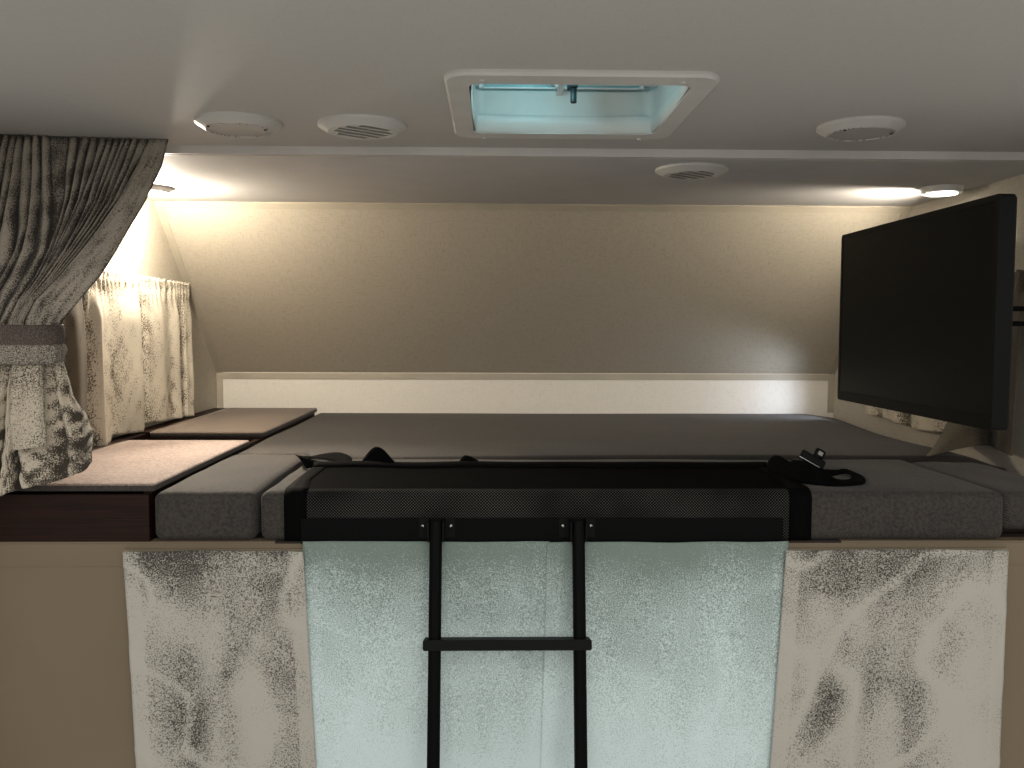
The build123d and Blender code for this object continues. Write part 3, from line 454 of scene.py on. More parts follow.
@dataclass(frozen=True)
class LitDiffuser(Finish):
    """Frosted lamp lens, lit from behind."""

    glow: float = 6.0

    def pattern(self, tree: Tree, place: Socket) -> Sockets:
        """Makes the lens shine evenly, over its moulded prisms."""
        shine = {"Emission Color": linear(self.colour), "Emission Strength": self.glow}
        return {**super().pattern(tree, place), **shine}


class Finishes:
    """The finishes of this object, by what each surface is made of."""

    # Gloss white fibreglass outside, linen-look vinyl paper or plain ceiling vinyl inside
    ROOF = LinedPanel("roof_panel", *FIBREGLASS, lining="#BFBCB6", fleck="#B6B2AC", inward=(0, 0, -1.0))
    CEILING = Finish("warm_white_vinyl", "#C5C4C2", 0.75, grain=1.5 * MM, mottle=0.03)
    WALL_LEFT = LinedPanel(
        "left_wall_panel", *FIBREGLASS, lining="#B5AD9C", fleck="#948C7C", inward=(1.0, 0, 0)
    )
    WALL_RIGHT = LinedPanel(
        "right_wall_panel", *FIBREGLASS, lining="#BDB6A7", fleck="#9C9485", inward=(-1.0, 0, 0)
    )
    NOSE_LOWER = LinedPanel(
        "lower_nose_panel", *FIBREGLASS, lining="#EAE5DA", fleck="#DAD4C7", inward=(0, -1.0, 0)
    )
    NOSE_SLOPE = LinedPanel(
        "sloped_nose_panel", *FIBREGLASS, lining="#B5AD9C", fleck="#948C7C", inward=(0, -0.68, -0.73)
    )
    MOULDING = Finish("wrapped_moulding", "#ABA392", 0.5, grain=1.2 * MM)
    # The batten's white film is satin and shows the lamps as a soft band
    BATTEN = Finish("white_batten", "#C6C2BC", 0.45)
    TRACK = Finish("taupe_track", "#837762", 0.5)
    EDGE_TRIM = Finish("extruded_trim", "#DEDEDB", 0.3, coat=0.2)
    # Embossed wall vinyl, warm taupe
    BULKHEAD = GrainedVinyl("taupe_vinyl", "#766752", 0.6, depth=0.1 * MM, mottle=0.04)
    DECK = WoodFoil("stained_plywood", "#2E2218", 0.8, vein="#1E150E", grain_width=9 * MM)
    THRESHOLD = Finish("brushed_aluminium", "#B9BABB", 0.35, metallic=1.0, grain=0.8 * MM)
    # Injection-moulded ABS with a fine spark-eroded texture that dulls its shine
    ABS = Finish("white_abs", "#C9C7C1", 0.4, coat=0.05)
    BRIGHT_ABS = Finish("white_abs_frame", "#EDEDEA", 0.35, coat=0.1)
    DUCT = Finish("black_duct", "#1A1A19", 0.8)
    PANE = Finish("acrylic_pane", "#9FD0D4", 0.25, coat=0.3, mottle=0.02)
    DOME = Finish("acrylic_dome", "#DCE6E6", 0.3, coat=0.3, mottle=0.02)
    CRANK = Finish("painted_handle", "#1D2B2D", 0.5)
    ROD = Finish("zinc_steel", "#8B8C8D", 0.35, metallic=1.0)
    LENS = LitDiffuser("frosted_lens", "#FFF6E6", 0.4)
    MARKER = Finish("amber_acrylic", "#D9771C", 0.15, coat=0.6)
    WINDOW_FRAME = Finish("powder_coated_frame", "#141414", 0.45)
    GLASS = Finish("tinted_glass", "#141A1A", 0.06, coat=0.5, mottle=0.02)
    # Twill of charcoal and brown yarn; its dry fibres scatter light instead of shining
    TWILL = TwillCloth(
        "upholstery_twill", "#1B1815", 0.9, light="#46403A", sheen=0.05, depth=0.25 * MM, rib=3.8 * MM
    )
    # A darker copy of the twill: painted shade at the seam where the mattress meets the front cushions
    SEAM_SHADE_TWILL = TwillCloth("front_seam_shade_twill", "#151210", 0.9, light="#2E2823", sheen=0.05, depth=0.3 * MM)
    # The same twill in salmon on the locker lids, drawn at the size where its ribs still show
    LID_TWILL = TwillCloth(
        "lid_twill", "#6C5B51", 0.9, light="#B5A298", sheen=0.1, depth=0.4 * MM, rib=4 * MM
    )
    # A darker copy for the far lid: painted shade
    LID_SHADE_TWILL = TwillCloth(
        "lid_twill_shaded", "#574A40", 0.9, light="#75685C", sheen=0.1, depth=0.25 * MM, rib=3.6 * MM
    )
    # A darker copy of the lid twill for the lids' sides: painted shade
    LID_EDGE = TwillCloth("lid_edge_twill", "#272320", 0.9, light="#4A423C", sheen=0.1, depth=0.3 * MM)
    WOOD = WoodFoil("cherry_foil", "#27130A", 0.5, ior=1.25, vein="#120804", grain_width=3 * MM)
    TAB = Finish("grey_tab", "#8C867C", 0.5)
    STEEL = Finish("bright_steel", "#B5B5B3", 0.25, metallic=1.0)
    ALLOY = Finish("black_anodised", "#040404", 0.55, ior=1.15)
    BLACK_PLASTIC = Finish("black_nylon", "#050505", 0.55, ior=1.2, depth=0.06 * MM)
    RUBBER = Finish("black_rubber", "#101010", 0.8, depth=0.1 * MM)
    NET = KnitMesh("knitted_mesh", "#040404", 0.9, ior=1.2, behind="#585651", depth=0.4 * MM)
    NET_FOLDED = KnitMesh("knitted_mesh_double", "#020202", 0.9, ior=1.1, behind="#050505", depth=0.4 * MM)
    WEBBING = Webbing("nylon_webbing", "#040404", 0.8, ior=1.12, depth=0.25 * MM)
    TV_CASE = Finish("moulded_black_case", "#080807", 0.45, ior=1.2, mottle=0.02)
    TV_SCREEN = Finish("screen_film", "#040505", 0.34, ior=1.18, mottle=0.02, depth=0.0)
    BERTH_CLOTH = CrushedVelvet(
        "berth_velour", "#2B2620", 0.9, pile="#A3998A", speck=2.3 * MM, cover=0.53, swing=0.5, crisp=0.13,
        fold_shading=0.34, sheen=0.1, depth=0.3 * MM,
    )
    # A paler copy of the berth cloth: painted light on the curtain below its tie-back
    BERTH_CLOTH_LIT = CrushedVelvet(
        "berth_velour_lit", "#3B342B", 0.9, pile="#C2B6A2", speck=2.8 * MM, cover=0.54, swing=0.4,
        crisp=0.1, fold_shading=0.32, depth=0.4 * MM,
    )
    TIE_CLOTH = CrushedVelvet(
        "tieback_velour", "#29201B", 0.75, pile="#66574B", speck=2 * MM, cover=0.5, swing=0.5, crisp=0.16,
        sheen=0.1,
    )
    WINDOW_CLOTH = CrushedVelvet(
        "window_velour", "#564B3A", 0.85, pile="#D2C9B6", speck=4 * MM, cover=0.56, swing=0.4, crisp=0.07,
        fold_shading=0.2, depth=0.3 * MM,
    )
    # A darker copy of the window cloth: painted shade on the curtains' near ends
    WINDOW_SHADE = CrushedVelvet(
        "window_velour_shaded", "#2C261D", 0.85, pile="#5E5442", cover=0.5, swing=0.4, sheen=0.1,
        depth=0.3 * MM,
    )
    # Darker at its heading: painted shade
    SIDE_CLOTH = CrushedVelvet(
        "cab_side_velour", "#3A372F", 0.85, pile="#B7B2A7", speck=2.8 * MM, crisp=0.12, fold_shading=0.28, sheen=0.1,
        depth=0.3 * MM, fade=(1.12, 1.25, 0.15),
    )
    # Paler towards its foot: painted light where daylight shines through it from behind
    CENTRE_CLOTH = CrushedVelvet(
        "cab_centre_velour", "#78867D", 0.9, pile="#D9EAEA", speck=2.4 * MM, patch=240 * MM, cover=0.44,
        swing=0.36, crisp=0.2, fold_shading=0.05, sheen=0.1, depth=0.2 * MM, fade=(0.75, 1.2, 0.34),
    )
    FLOOR = Finish("studio_floor", "#DAD8D4", 0.8, mottle=0.01)


def dress(finishes: dict[str, Finish]) -> None:
    """Gives CAD nodes their finishes.

    Args:
        finishes: What each node is made of.
    """
    for node, finish in finishes.items():
        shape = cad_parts[node]
        if not shape.material_slots:
            shape.data.materials.append(finish.material())
        for holder in shape.material_slots:
            holder.material = finish.material()
        LOG.info("dressed %s", node)


def recolour(piece: Piece, finish: Finish, chosen: Callable[[bpy.types.MeshPolygon], bool]) -> None:
    """Gives some of a piece's faces a second finish.

    Args:
        piece: The piece.
        finish: The second finish.
        chosen: Says whether a face takes it.
    """
    piece.data.materials.append(finish.material())
    for face in piece.data.polygons:
        face.material_index = int(chosen(face))


def add_piece(
    name: str, points: np.ndarray, faces: Faces, finish: Finish, body: str = "shell", slot: str | None = None,
    cloth: np.ndarray | None = None,
) -> Piece:
    """Makes one piece of the object and lets it ride a body.

    Args:
        name: The piece's name.
        points: Its corners, in the row frame, in metres.
        faces: Its faces, as corner numbers.
        finish: What it is made of.
        body: The CAD body that it rides on.
        slot: Not used.
        cloth: Each corner's place on the flat cloth, in metres.

    Returns:
        The new object.
    """
    mesh = bpy.data.meshes.new(name)
    mesh.from_pydata([tuple(map(float, p)) for p in points], [], faces)
    if cloth is not None:
        layer = mesh.uv_layers.new(name="cloth")
        corners = np.empty(len(mesh.loops), dtype=np.int32)
        mesh.loops.foreach_get("vertex_index", corners)
        layer.data.foreach_set("uv", np.asarray(cloth, dtype=np.float32)[corners].ravel())
    mesh.materials.append(finish.material())
    mesh.validate()
    mesh.polygons.foreach_set("use_smooth", [True] * len(mesh.polygons))
    piece = bpy.data.objects.new(name, mesh)
    bpy.context.scene.collection.objects.link(piece)
    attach(piece, body)
    return piece


def grid_faces(rows: int, columns: int, closed: bool = False) -> Faces:
    """Lists the quads of a grid of points stored row by row.

    Args:
        rows: How many rows of points there are.
        columns: How many points a row has.
        closed: Whether each row closes on itself.

    Returns:
        The quads, as corner numbers.
    """
    faces = []
    for row in range(rows - 1):
        here, below = row * columns, (row + 1) * columns
        for c in range(columns if closed else columns - 1):
            beside = (c + 1) % columns
            faces.append((here + c, here + beside, below + beside, below + c))
    return faces


def thicken(piece: Piece, thickness: float) -> None:
    """Gives a sheet its thickness, half of it on each side.

    Args:
        piece: The sheet.
        thickness: How thick it is, in metres.
    """
    skin = piece.modifiers.new("thickness", "SOLIDIFY")
    skin.thickness = thickness
    skin.offset = 0.0


def ripple(u: np.ndarray, v: np.ndarray | float, seed: int, waves: int = 6, reach: float = 6.0) -> np.ndarray:
    """Returns a smooth random swell between about -1 and 1 over two coordinates.

    Args:
        u: The first coordinate, from 0 to 1.
        v: The second coordinate, from 0 to 1, one for each u or one for all.
        seed: What picks the swell.
        waves: How many waves it is made of.
        reach: The most turns that a wave takes from 0 to 1.
    """
    chance = np.random.default_rng(seed)
    total = np.zeros(np.broadcast(u, v).shape)
    for _ in range(waves):
        a, b = chance.uniform(-reach, reach, 2)
        total = total + np.sin(2 * np.pi * (a * u + b * v) + chance.uniform(0, 2 * np.pi))
    return total / waves**0.5 / 1.5


def smoothstep(t: np.ndarray | float, low: float = 0.0, high: float = 1.0) -> np.ndarray | float:
    """Rises smoothly from 0 at low to 1 at high."""
    t = np.clip((np.asarray(t) - low) / (high - low), 0, 1)
    return t * t * (3 - 2 * t)


def block_lines(length: float, radius: float, pitch: float) -> np.ndarray:
    """Places grid lines along a rounded block's side: close together over the rounding, even between.

    Args:
        length: The side's length.
        radius: The rounding's radius.
        pitch: The spacing between the roundings.
    """
    bend = radius * (1 - np.cos(np.linspace(0, math.pi / 2, BEND_LINES)))
    count = max(2, round((length - 2 * radius) / pitch))
    middle = np.linspace(radius, length - radius, count + 1)
    return np.concatenate([bend[:-1], middle, (length - bend[:-1])[::-1]])


def rounded_block(
    low: Vector, high: Vector, radius: float, pitch: float, cuts: tuple[float, ...] = ()
) -> tuple[np.ndarray, Faces, np.ndarray]:
    """Makes a closed block with rounded edges and corners.

    Args:
        low: Its lowest corner.
        high: Its highest corner.
        radius: The rounding's radius.
        pitch: The spacing of its grid.
        cuts: Where more grid lines go, along X.

    Returns:
        Its points, its faces, and each point's share of the way along each axis.
    """
    lines = [block_lines(high[a] - low[a], radius, pitch) for a in range(3)]
    lines[0] = np.sort(np.concatenate([lines[0], [x - low.x for x in cuts]]))
    last = [len(line) - 1 for line in lines]
    index: dict[tuple[int, int, int], int] = {}
    keys: list[tuple[int, int, int]] = []
    faces: Faces = []

    def corner(key: tuple[int, int, int]) -> int:
        """Numbers a grid corner, once."""
        if key not in index:
            index[key] = len(keys)
            keys.append(key)
        return index[key]

    for axis in range(3):
        a, b = (axis + 1) % 3, (axis + 2) % 3
        for end in (0, last[axis]):
            for i in range(last[a]):
                for j in range(last[b]):
                    quad = []
                    for di, dj in ((0, 0), (1, 0), (1, 1), (0, 1)):
                        key = [0, 0, 0]
                        key[axis], key[a], key[b] = end, i + di, j + dj
                        quad.append(corner((key[0], key[1], key[2])))
                    faces.append(tuple(quad if end else quad[::-1]))
    raw = np.array([[lines[a][k[a]] for a in range(3)] for k in keys])
    size = np.array([high[a] - low[a] for a in range(3)])
    core = np.clip(raw, radius, size - radius)
    out = raw - core
    away = np.linalg.norm(out, axis=1, keepdims=True)
    points = core + radius * out / np.maximum(away, 1e-9)
    return points + np.array(low), faces, points / size


def fold_depths(at: np.ndarray, table: Pairs) -> np.ndarray:
    """Reads how far a cloth stands out at each place, rounded over between the rows of its table.

    Args:
        at: The places.
        table: Rows of a place and its depth.
    """
    places, depth = np.array(table).T
    spots = np.interp(at, places, np.arange(len(places)))
    whole = np.minimum(spots.astype(int), len(places) - 2)
    blend = smoothstep(spots - whole)
    return depth[whole] * (1 - blend) + depth[whole + 1] * blend


def guide_places(z: float, table: np.ndarray) -> list[float]:
    """Reads where each guide is at a height, from rows of a height and the guides' places there."""
    return [np.interp(-z, -table[:, 0], table[:, c]) for c in range(1, table.shape[1])]


def smooth_line(path: list[Point], count: int) -> np.ndarray:
    """Returns count points on a smooth line through the path's points."""
    anchors = np.array(path, float)
    padded = np.vstack([2 * anchors[0] - anchors[1], anchors, 2 * anchors[-1] - anchors[-2]])
    spots = np.linspace(0, len(anchors) - 1 - 1e-6, count)
    line = []
    for spot in spots:
        i = int(spot)
        t = spot - i
        a, b, c, d = padded[i : i + 4]
        line.append(
            0.5 * (2 * b + (c - a) * t + (2 * a - 5 * b + 4 * c - d) * t * t + (3 * b - a - 3 * c + d) * t**3)
        )
    return np.array(line)


def hang_cloth(
    name: str, grid: np.ndarray, finish: Finish, slot: str, thickness: float, shade_and_crush: np.ndarray | None = None
) -> Piece:
    """Makes a sheet of cloth from a grid of points.

    Args:
        name: The sheet's name.
        grid: Its points, by row and column.
        finish: What it is made of.
        slot: Passed on, and not used.
        thickness: How thick it is.
        shade_and_crush: The painted highlight and shade of the folds at each point, with crushed patches,
            below 0 in the valleys.

    Returns:
        The sheet.
    """
    rows, columns = grid.shape[:2]
    across = np.linalg.norm(np.diff(grid, axis=1), axis=2)
    down = np.linalg.norm(np.diff(grid, axis=0), axis=2).mean(axis=1)
    u = np.hstack([np.zeros((rows, 1)), np.cumsum(across, axis=1)])
    v = np.concatenate([[0], np.cumsum(down)])
    cloth = np.stack([u, np.broadcast_to(v[:, None], u.shape)], axis=-1).reshape(-1, 2)
    faces = grid_faces(rows, columns)
    piece = add_piece(name, grid.reshape(-1, 3), faces, finish, slot=slot, cloth=cloth)
    if shade_and_crush is not None:
        crushed_and_shaded = piece.data.attributes.new("shade_and_crush", "FLOAT", "POINT")
        crushed_and_shaded.data.foreach_set("value", np.asarray(shade_and_crush, dtype=np.float32).ravel())
    thicken(piece, thickness)
    return piece


def lathe(outline: list[tuple[float, float]], centre: Point, axis: Point, segments: int = 24) -> Mesh:
    """Turns an outline of (radius, height) pairs round an axis, closed at both ends.

    Args:
        outline: The radius and height of each ring.
        centre: Where height 0 is.
        axis: The direction of the height.
        segments: How many sides a ring has.

    Returns:
        Its points and faces.
    """
    up = Vector(axis).normalized()
    right = up.orthogonal().normalized()
    ahead = up.cross(right)
    points = []
    for radius, height in outline:
        for s in range(segments):
            turn = 2 * math.pi * s / segments
            spoke = right * math.cos(turn) + ahead * math.sin(turn)
            points.append(Vector(centre) + up * height + radius * spoke)
    faces = grid_faces(len(outline), segments, closed=True)
    faces.append(tuple(range(segments))[::-1])
    faces.append(tuple(range((len(outline) - 1) * segments, len(outline) * segments)))
    return np.array([tuple(p) for p in points]), faces


def joined(parts: list[Mesh]) -> Mesh:
    """Joins several meshes into one list of points and faces."""
    points, faces, start = [], [], 0
    for some_points, some_faces in parts:
        points.append(some_points)
        faces.extend(tuple(start + i for i in face) for face in some_faces)
        start += len(some_points)
    return np.vstack(points), faces


def screw_heads(places: list[Point], axis: Point, radius: float) -> Mesh:
    """Makes pan-head screws with a round recess.

    Args:
        places: Where each head sits on its surface.
        axis: The direction that the heads face.
        radius: Their radius.
    """
    outline = [(out * radius, up * radius) for out, up in SCREW_OUTLINE]
    return joined([lathe(outline, place, axis, 16) for place in places])


@dataclass
class Camera:
    """The photograph's camera, as worked out from the straight edges in the picture."""

    place: Point = (-0.1366, -1.7618, 1.6964)
    turn: float = 0.0219
    dip: float = 0.0624
    roll: float = 0.0039
    focal_pixels: float = 889.5
    sees: tuple[float, float] = (0.05, 60.0)

    def make(self) -> None:
        """Makes the camera and chooses it."""
        flat_ahead = Vector((math.sin(self.turn), math.cos(self.turn), 0))
        flat_right = Vector((math.cos(self.turn), -math.sin(self.turn), 0))
        ahead = flat_ahead * math.cos(self.dip) - Vector((0, 0, math.sin(self.dip)))
        flat_up = flat_right.cross(ahead)
        right = flat_right * math.cos(self.roll) + flat_up * math.sin(self.roll)
        up = flat_up * math.cos(self.roll) - flat_right * math.sin(self.roll)
        data = bpy.data.cameras.new("photo_camera")
        data.sensor_width = SENSOR_WIDTH
        data.lens = self.focal_pixels / PHOTO_WIDTH * SENSOR_WIDTH
        data.clip_start, data.clip_end = self.sees
        camera = bpy.data.objects.new("photo_camera", data)
        turn = Matrix((right, up, -ahead)).transposed().to_4x4()
        camera.matrix_world = Matrix.Translation(Vector(self.place)) @ turn
        bpy.context.scene.collection.objects.link(camera)
        bpy.context.scene.camera = camera


class LampKind(Enum):
    """The kinds of lamp, by Blender's names."""

    SOFTBOX = "AREA"
    GLOW = "POINT"
    BEAM = "SPOT"


@dataclass(frozen=True)
class Lamp:
    """One lamp, in the berth lamps' warm white unless it says otherwise.

    Its size is a softbox's side, or the radius of what glows; a beam also has an angle, in degrees.
    """

    name: str
    kind: LampKind
    place: Point
    target: Point | None
    size: float
    watts: float
    colour: str = "#FFF1DE"
    angle: float = 0.0
    soft_edge: float = 0.8

    def make(self) -> None:
        """Makes the lamp, pointed at its target."""
        data = bpy.data.lights.new(self.name, self.kind.value)
        data.energy = self.watts
        data.color = linear(self.colour)[:3]
        if self.kind is LampKind.SOFTBOX:
            data.shape = "SQUARE"
            data.size = self.size
        else:
            data.shadow_soft_size = self.size
        if self.kind is LampKind.BEAM:
            data.spot_size = math.radians(self.angle)
            data.spot_blend = self.soft_edge
        lamp = bpy.data.objects.new(self.name, data)
        lamp.location = self.place
        if self.target:
            ahead = Vector(self.target) - Vector(self.place)
            lamp.rotation_euler = ahead.to_track_quat("-Z", "Y").to_euler()
        bpy.context.scene.collection.objects.link(lamp)


@dataclass
class Studio:
    """Pale floor, even sky and large soft lamps, with the berth's two lamps lit and daylight inside."""

    floor_size: float = 14.0
    floor_drop: float = 1 * MM
    sky_light: float = 0.4
    sky_seen: float = 0.9
    sky_colour: str = "#F4F5F6"
    lamps: tuple[Lamp, ...] = (
        Lamp("room_softbox", LampKind.SOFTBOX, (0.2, -4.2, 3.0), (0.0, 0.6, 1.4), 3.0, 85.0, "#FFFAF2"),
        Lamp("front_softbox", LampKind.SOFTBOX, (-3.5, 5.5, 4.5), (0.0, 0.5, 1.2), 4.0, 260.0, "#FFFFFF"),
        Lamp("side_softbox", LampKind.SOFTBOX, (5.0, 1.5, 3.5), (0.0, 0.5, 1.2), 3.0, 120.0, "#FFFFFF"),
        Lamp("left_berth_glow", LampKind.GLOW, (-1.09, 0.795, 2.058), None, 0.02, 23.0),
        Lamp("hatch_daylight", LampKind.GLOW, (-0.05, -0.15, 2.16), None, 0.02, 0.85, "#9CDDEA"),
        Lamp(
            "left_berth_beam", LampKind.BEAM, (-1.06, 0.74, 2.06), (-0.60, 0.26, 1.37), 0.05, 44.0, angle=70.0
        ),
        Lamp(
            "right_berth_glow", LampKind.BEAM, (1.09, 0.72, 2.03), (0.45, 1.45, 2.00), 0.02, 15.0, angle=130.0
        ),
        Lamp(
            "right_window_light", LampKind.BEAM, (1.12, 1.44, 1.43), (0.70, 1.68, 1.43), 0.06, 3.4,
            colour="#DCE9FF", angle=110.0,
        ),
    )

    def make(self) -> None:
        """Makes the floor, the sky and the lamps."""
        self.floor()
        self.sky()
        for lamp in self.lamps:
            lamp.make()

    def floor(self) -> None:
        """Makes the floor, a little below the piece."""
        half = self.floor_size / 2
        mesh = bpy.data.meshes.new("floor")
        corners = [(x * half, y * half, -self.floor_drop) for x, y in ((-1, -1), (1, -1), (1, 1), (-1, 1))]
        mesh.from_pydata(corners, [], [(0, 1, 2, 3)])
        mesh.materials.append(Finishes.FLOOR.material())
        floor = bpy.data.objects.new("floor", mesh)
        bpy.context.scene.collection.objects.link(floor)

    def sky(self) -> None:
        """Makes the sky, brighter where the camera or a gloss surface sees it."""
        world = bpy.data.worlds.new("sky")
        bpy.context.scene.world = world
        world.use_nodes = True
        tree = world.node_tree
        tree.nodes.clear()
        rays = add_node(tree, "LightPath").outputs
        seen = add_node(
            tree, "Math", {0: rays["Is Camera Ray"], 1: rays["Is Glossy Ray"]}, operation="MAXIMUM"
        )
        reach = {"Value": seen, "To Min": self.sky_light, "To Max": self.sky_seen}
        sockets = {"Color": linear(self.sky_colour), "Strength": add_node(tree, "MapRange", reach)}
        add_node(tree, "OutputWorld", {"Surface": add_node(tree, "Background", sockets)})


@dataclass
class Shell:
    """The panels, windows, mouldings and marker lamps."""

    finishes: dict[str, Finish] = field(
        default_factory=lambda: {
            "roof": Finishes.ROOF,
            "berth_ceiling": Finishes.CEILING,
            "side_wall_left": Finishes.WALL_LEFT,
            "side_wall_right": Finishes.WALL_RIGHT,
            "nose_lower": Finishes.NOSE_LOWER,
            "nose_slope": Finishes.NOSE_SLOPE,
            "nose_mouldings": Finishes.MOULDING,
            "ceiling_track": Finishes.BATTEN,
            "corner_mouldings": Finishes.EDGE_TRIM,
            "marker_lamps": Finishes.MARKER,
            "window_frames": Finishes.WINDOW_FRAME,
            "window_panes": Finishes.GLASS,
            "deck": Finishes.DECK,
            "bulkhead_left": Finishes.BULKHEAD,
            "bulkhead_right": Finishes.BULKHEAD,
            "threshold": Finishes.THRESHOLD,
            "cab_curtain_track": Finishes.TRACK,
        }
    )
    vinyl: float = 1.6 * MM
    glue: float = 0.2 * MM
    rail_gap: float = 0.6 * MM

    def make(self) -> None:
        """Dresses the panels and covers the deck's edge."""
        dress(self.finishes)
        self.header()

    def header(self) -> None:
        """Covers the deck's edge with the bulkheads' vinyl, above the way through."""
        low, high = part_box("deck")
        rail_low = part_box("net_rail")[0]
        near = Vector((low.x, -self.vinyl - self.glue, low.z))
        far = Vector((high.x, -self.glue, rail_low.z - self.rail_gap))
        points, faces, _ = rounded_block(near, far, 0.7 * MM, 100 * MM)
        add_piece("deck_edge_vinyl", points, faces, Finishes.BULKHEAD, slot="bulkhead_vinyl")
        LOG.info("deck edge vinyl")


@dataclass
class CeilingFittings:
    """Roof hatch, registers, speakers and lamps, with their screws."""

    hatch_screw_half: float = 163 * MM
    hatch_screws_y: tuple[float, float] = (-208 * MM, 224 * MM)
    speaker_radius: float = 84 * MM
    speaker_screws: Pairs = ((-48 * MM, -42 * MM), (56 * MM, -14 * MM))
    register_radius: float = 89 * MM
    duct_radius: float = 55 * MM
    seated: float = 0.1 * MM
    panes_x: Pairs = ((-0.158, -0.016), (0.006, 0.168))
    bars_x: tuple[float, ...] = (-0.166, -0.010, 0.165)
    bar_width: float = 9 * MM
    sill_x: tuple[float, float] = (-0.162, 0.171)
    pane_inset: float = 32 * MM
    pane_height: float = 19 * MM
    pane_bulge: float = 1.5 * MM
    liner_half: float = 184.4 * MM
    liner_corner: float = 21 * MM
    liner_foot: float = 2.098
    liner_step: float = 2.131
    liner_lip: float = 0.4 * MM
    liner_thickness: float = 0.8 * MM
    liner_points: int = 160
    grip_radius: float = 6 * MM
    grip_length: float = 24 * MM
    grip_inset: float = 11.25 * MM

    def make(self) -> None:
        """Dresses the fittings, and adds their screws, ducts, panes, liner and grip."""
        low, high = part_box("speakers")
        out = self.speaker_radius
        centres = ((low.x + out, high.y - out), (high.x - out, low.y + out))
        cover = PerforatedCover("speaker_cover", "#C4C1BB", 0.45, depth=0.2 * MM, centres=centres)
        dress(
            {
                "hatch_frame": Finishes.ABS,
                "hatch_lid": Finishes.DOME,
                "hatch_crank": Finishes.CRANK,
                "air_registers": Finishes.ABS,
                "berth_lamps": Finishes.ABS,
                "lamp_lenses": Finishes.LENS,
                "speakers": cover,
            }
        )
        self.screws(centres, low.z)
        self.ducts()
        self.panes()
        self.liner()
        self.grip()

    def liner(self) -> None:
        """Adds the lower liner, whose upper edge shows as a step."""
        low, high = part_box("hatch_frame")
        middle = (low + high) / 2
        turn = np.linspace(0, 2 * np.pi, self.liner_points, endpoint=False)
        core = self.liner_half - self.liner_corner
        rows = []
        step = self.liner_step
        for grown, z in ((0.0, self.liner_foot), (0.0, step), (self.liner_lip, step + 1 * MM)):
            x = core * np.clip(1.6 * np.cos(turn), -1, 1) + (self.liner_corner + grown) * np.cos(turn)
            y = core * np.clip(1.6 * np.sin(turn), -1, 1) + (self.liner_corner + grown) * np.sin(turn)
            reach = self.liner_half + grown
            x, y = np.clip(x, -reach, reach), np.clip(y, -reach, reach)
            rows.append(np.stack([middle.x + x, middle.y + y, 0 * x + z], axis=1))
        faces = grid_faces(len(rows), self.liner_points, closed=True)
        piece = add_piece("hatch_liner_step", np.vstack(rows), faces, Finishes.ABS, slot="hatch_plastic")
        thicken(piece, self.liner_thickness)
        LOG.info("hatch liner")

    def grip(self) -> None:
        """Adds the crank's grip, with a chamfer at each end."""
        low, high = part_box("hatch_crank")
        out, up, end = self.grip_radius, self.grip_length, 1.5 * MM
        outline = [(0.9 * out, 0), (out, end), (out, up), (0.8 * out, up + end)]
        place = (low.x + self.grip_inset, (low.y + high.y) / 2, low.z - 1 * MM)
        add_piece("crank_grip", *lathe(outline, place, (0, 0, 1)), Finishes.CRANK, slot="crank_metal")
        LOG.info("crank grip")

    def screws(self, speakers: Pairs, speaker_z: float) -> None:
        """Adds the hatch flange's four screws and the two in each speaker's rim.

        Args:
            speakers: Each speaker's middle.
            speaker_z: The speakers' lowest height.
        """
        low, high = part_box("hatch_frame")
        middle = (low + high) / 2
        places = [
            (middle.x + hand * self.hatch_screw_half, middle.y + y, low.z - self.seated)
            for hand in (-1, 1)
            for y in self.hatch_screws_y
        ]
        heads = screw_heads(places, (0, 0, -1), 4.5 * MM)
        add_piece("hatch_screws", *heads, Finishes.ABS, slot="hatch_plastic")
        z = speaker_z - self.seated
        places = [(x + dx, y + dy, z) for x, y in speakers for dx, dy in self.speaker_screws]
        heads = screw_heads(places, (0, 0, -1), 3 * MM)
        add_piece("speaker_screws", *heads, Finishes.BLACK_PLASTIC, slot="hatch_plastic")
        LOG.info("hatch and speaker screws")

    def ducts(self) -> None:
        """Adds the dark duct behind each register's slots."""
        low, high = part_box("air_registers")
        out = self.register_radius
        parts = []
        for x, y, z in (
            (low.x + out, low.y + out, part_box("roof")[0].z),
            (high.x - out, high.y - out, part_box("berth_ceiling")[0].z),
        ):
            rings = [(self.duct_radius, 1 * MM), (self.duct_radius, 2 * MM), (0.9 * self.duct_radius, 5 * MM)]
            parts.append(lathe(rings, (x, y, z), (0, 0, 1), 32))
        add_piece("register_ducts", *joined(parts), Finishes.DUCT, slot="hatch_plastic")
        LOG.info("register ducts")

    def panes(self) -> None:
        """Adds the two panes that let daylight in over the hatch's far rim."""
        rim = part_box("hatch_frame")[1].z
        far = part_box("hatch_lid")[1].y - self.pane_inset
        foot = rim + 3 * MM
        parts = []
        for left, right in self.panes_x:
            x = np.linspace(left, right, 24)
            rows = []
            for v in np.linspace(0, 1, 6):
                bulge = self.pane_bulge * np.sin(np.pi * (x - left) / (right - left)) * (1 - v)
                rows.append(np.stack([x, far - bulge, foot + self.pane_height * v + 0 * x], axis=1))
            parts.append((np.vstack(rows), grid_faces(len(rows), len(x))))
        panes = add_piece(
            "hatch_panes", *joined(parts), Finishes.PANE, body="hatch_lid", slot="hatch_plastic"
        )
        thicken(panes, 1 * MM)
        near, low = far - 5 * MM, rim + 0.6 * MM
        bars = [((self.sill_x[0], near, low), (self.sill_x[1], far - 1.5 * MM, rim + 4.4 * MM))]
        for x in self.bars_x:
            bars.append(((x, near, low), (x + self.bar_width, far - 1 * MM, foot + self.pane_height)))
        bars = joined([rounded_block(Vector(a), Vector(b), 1 * MM, 50 * MM)[:2] for a, b in bars])
        add_piece("pane_frame", *bars, Finishes.BRIGHT_ABS, body="hatch_lid", slot="hatch_plastic")
        LOG.info("hatch panes")


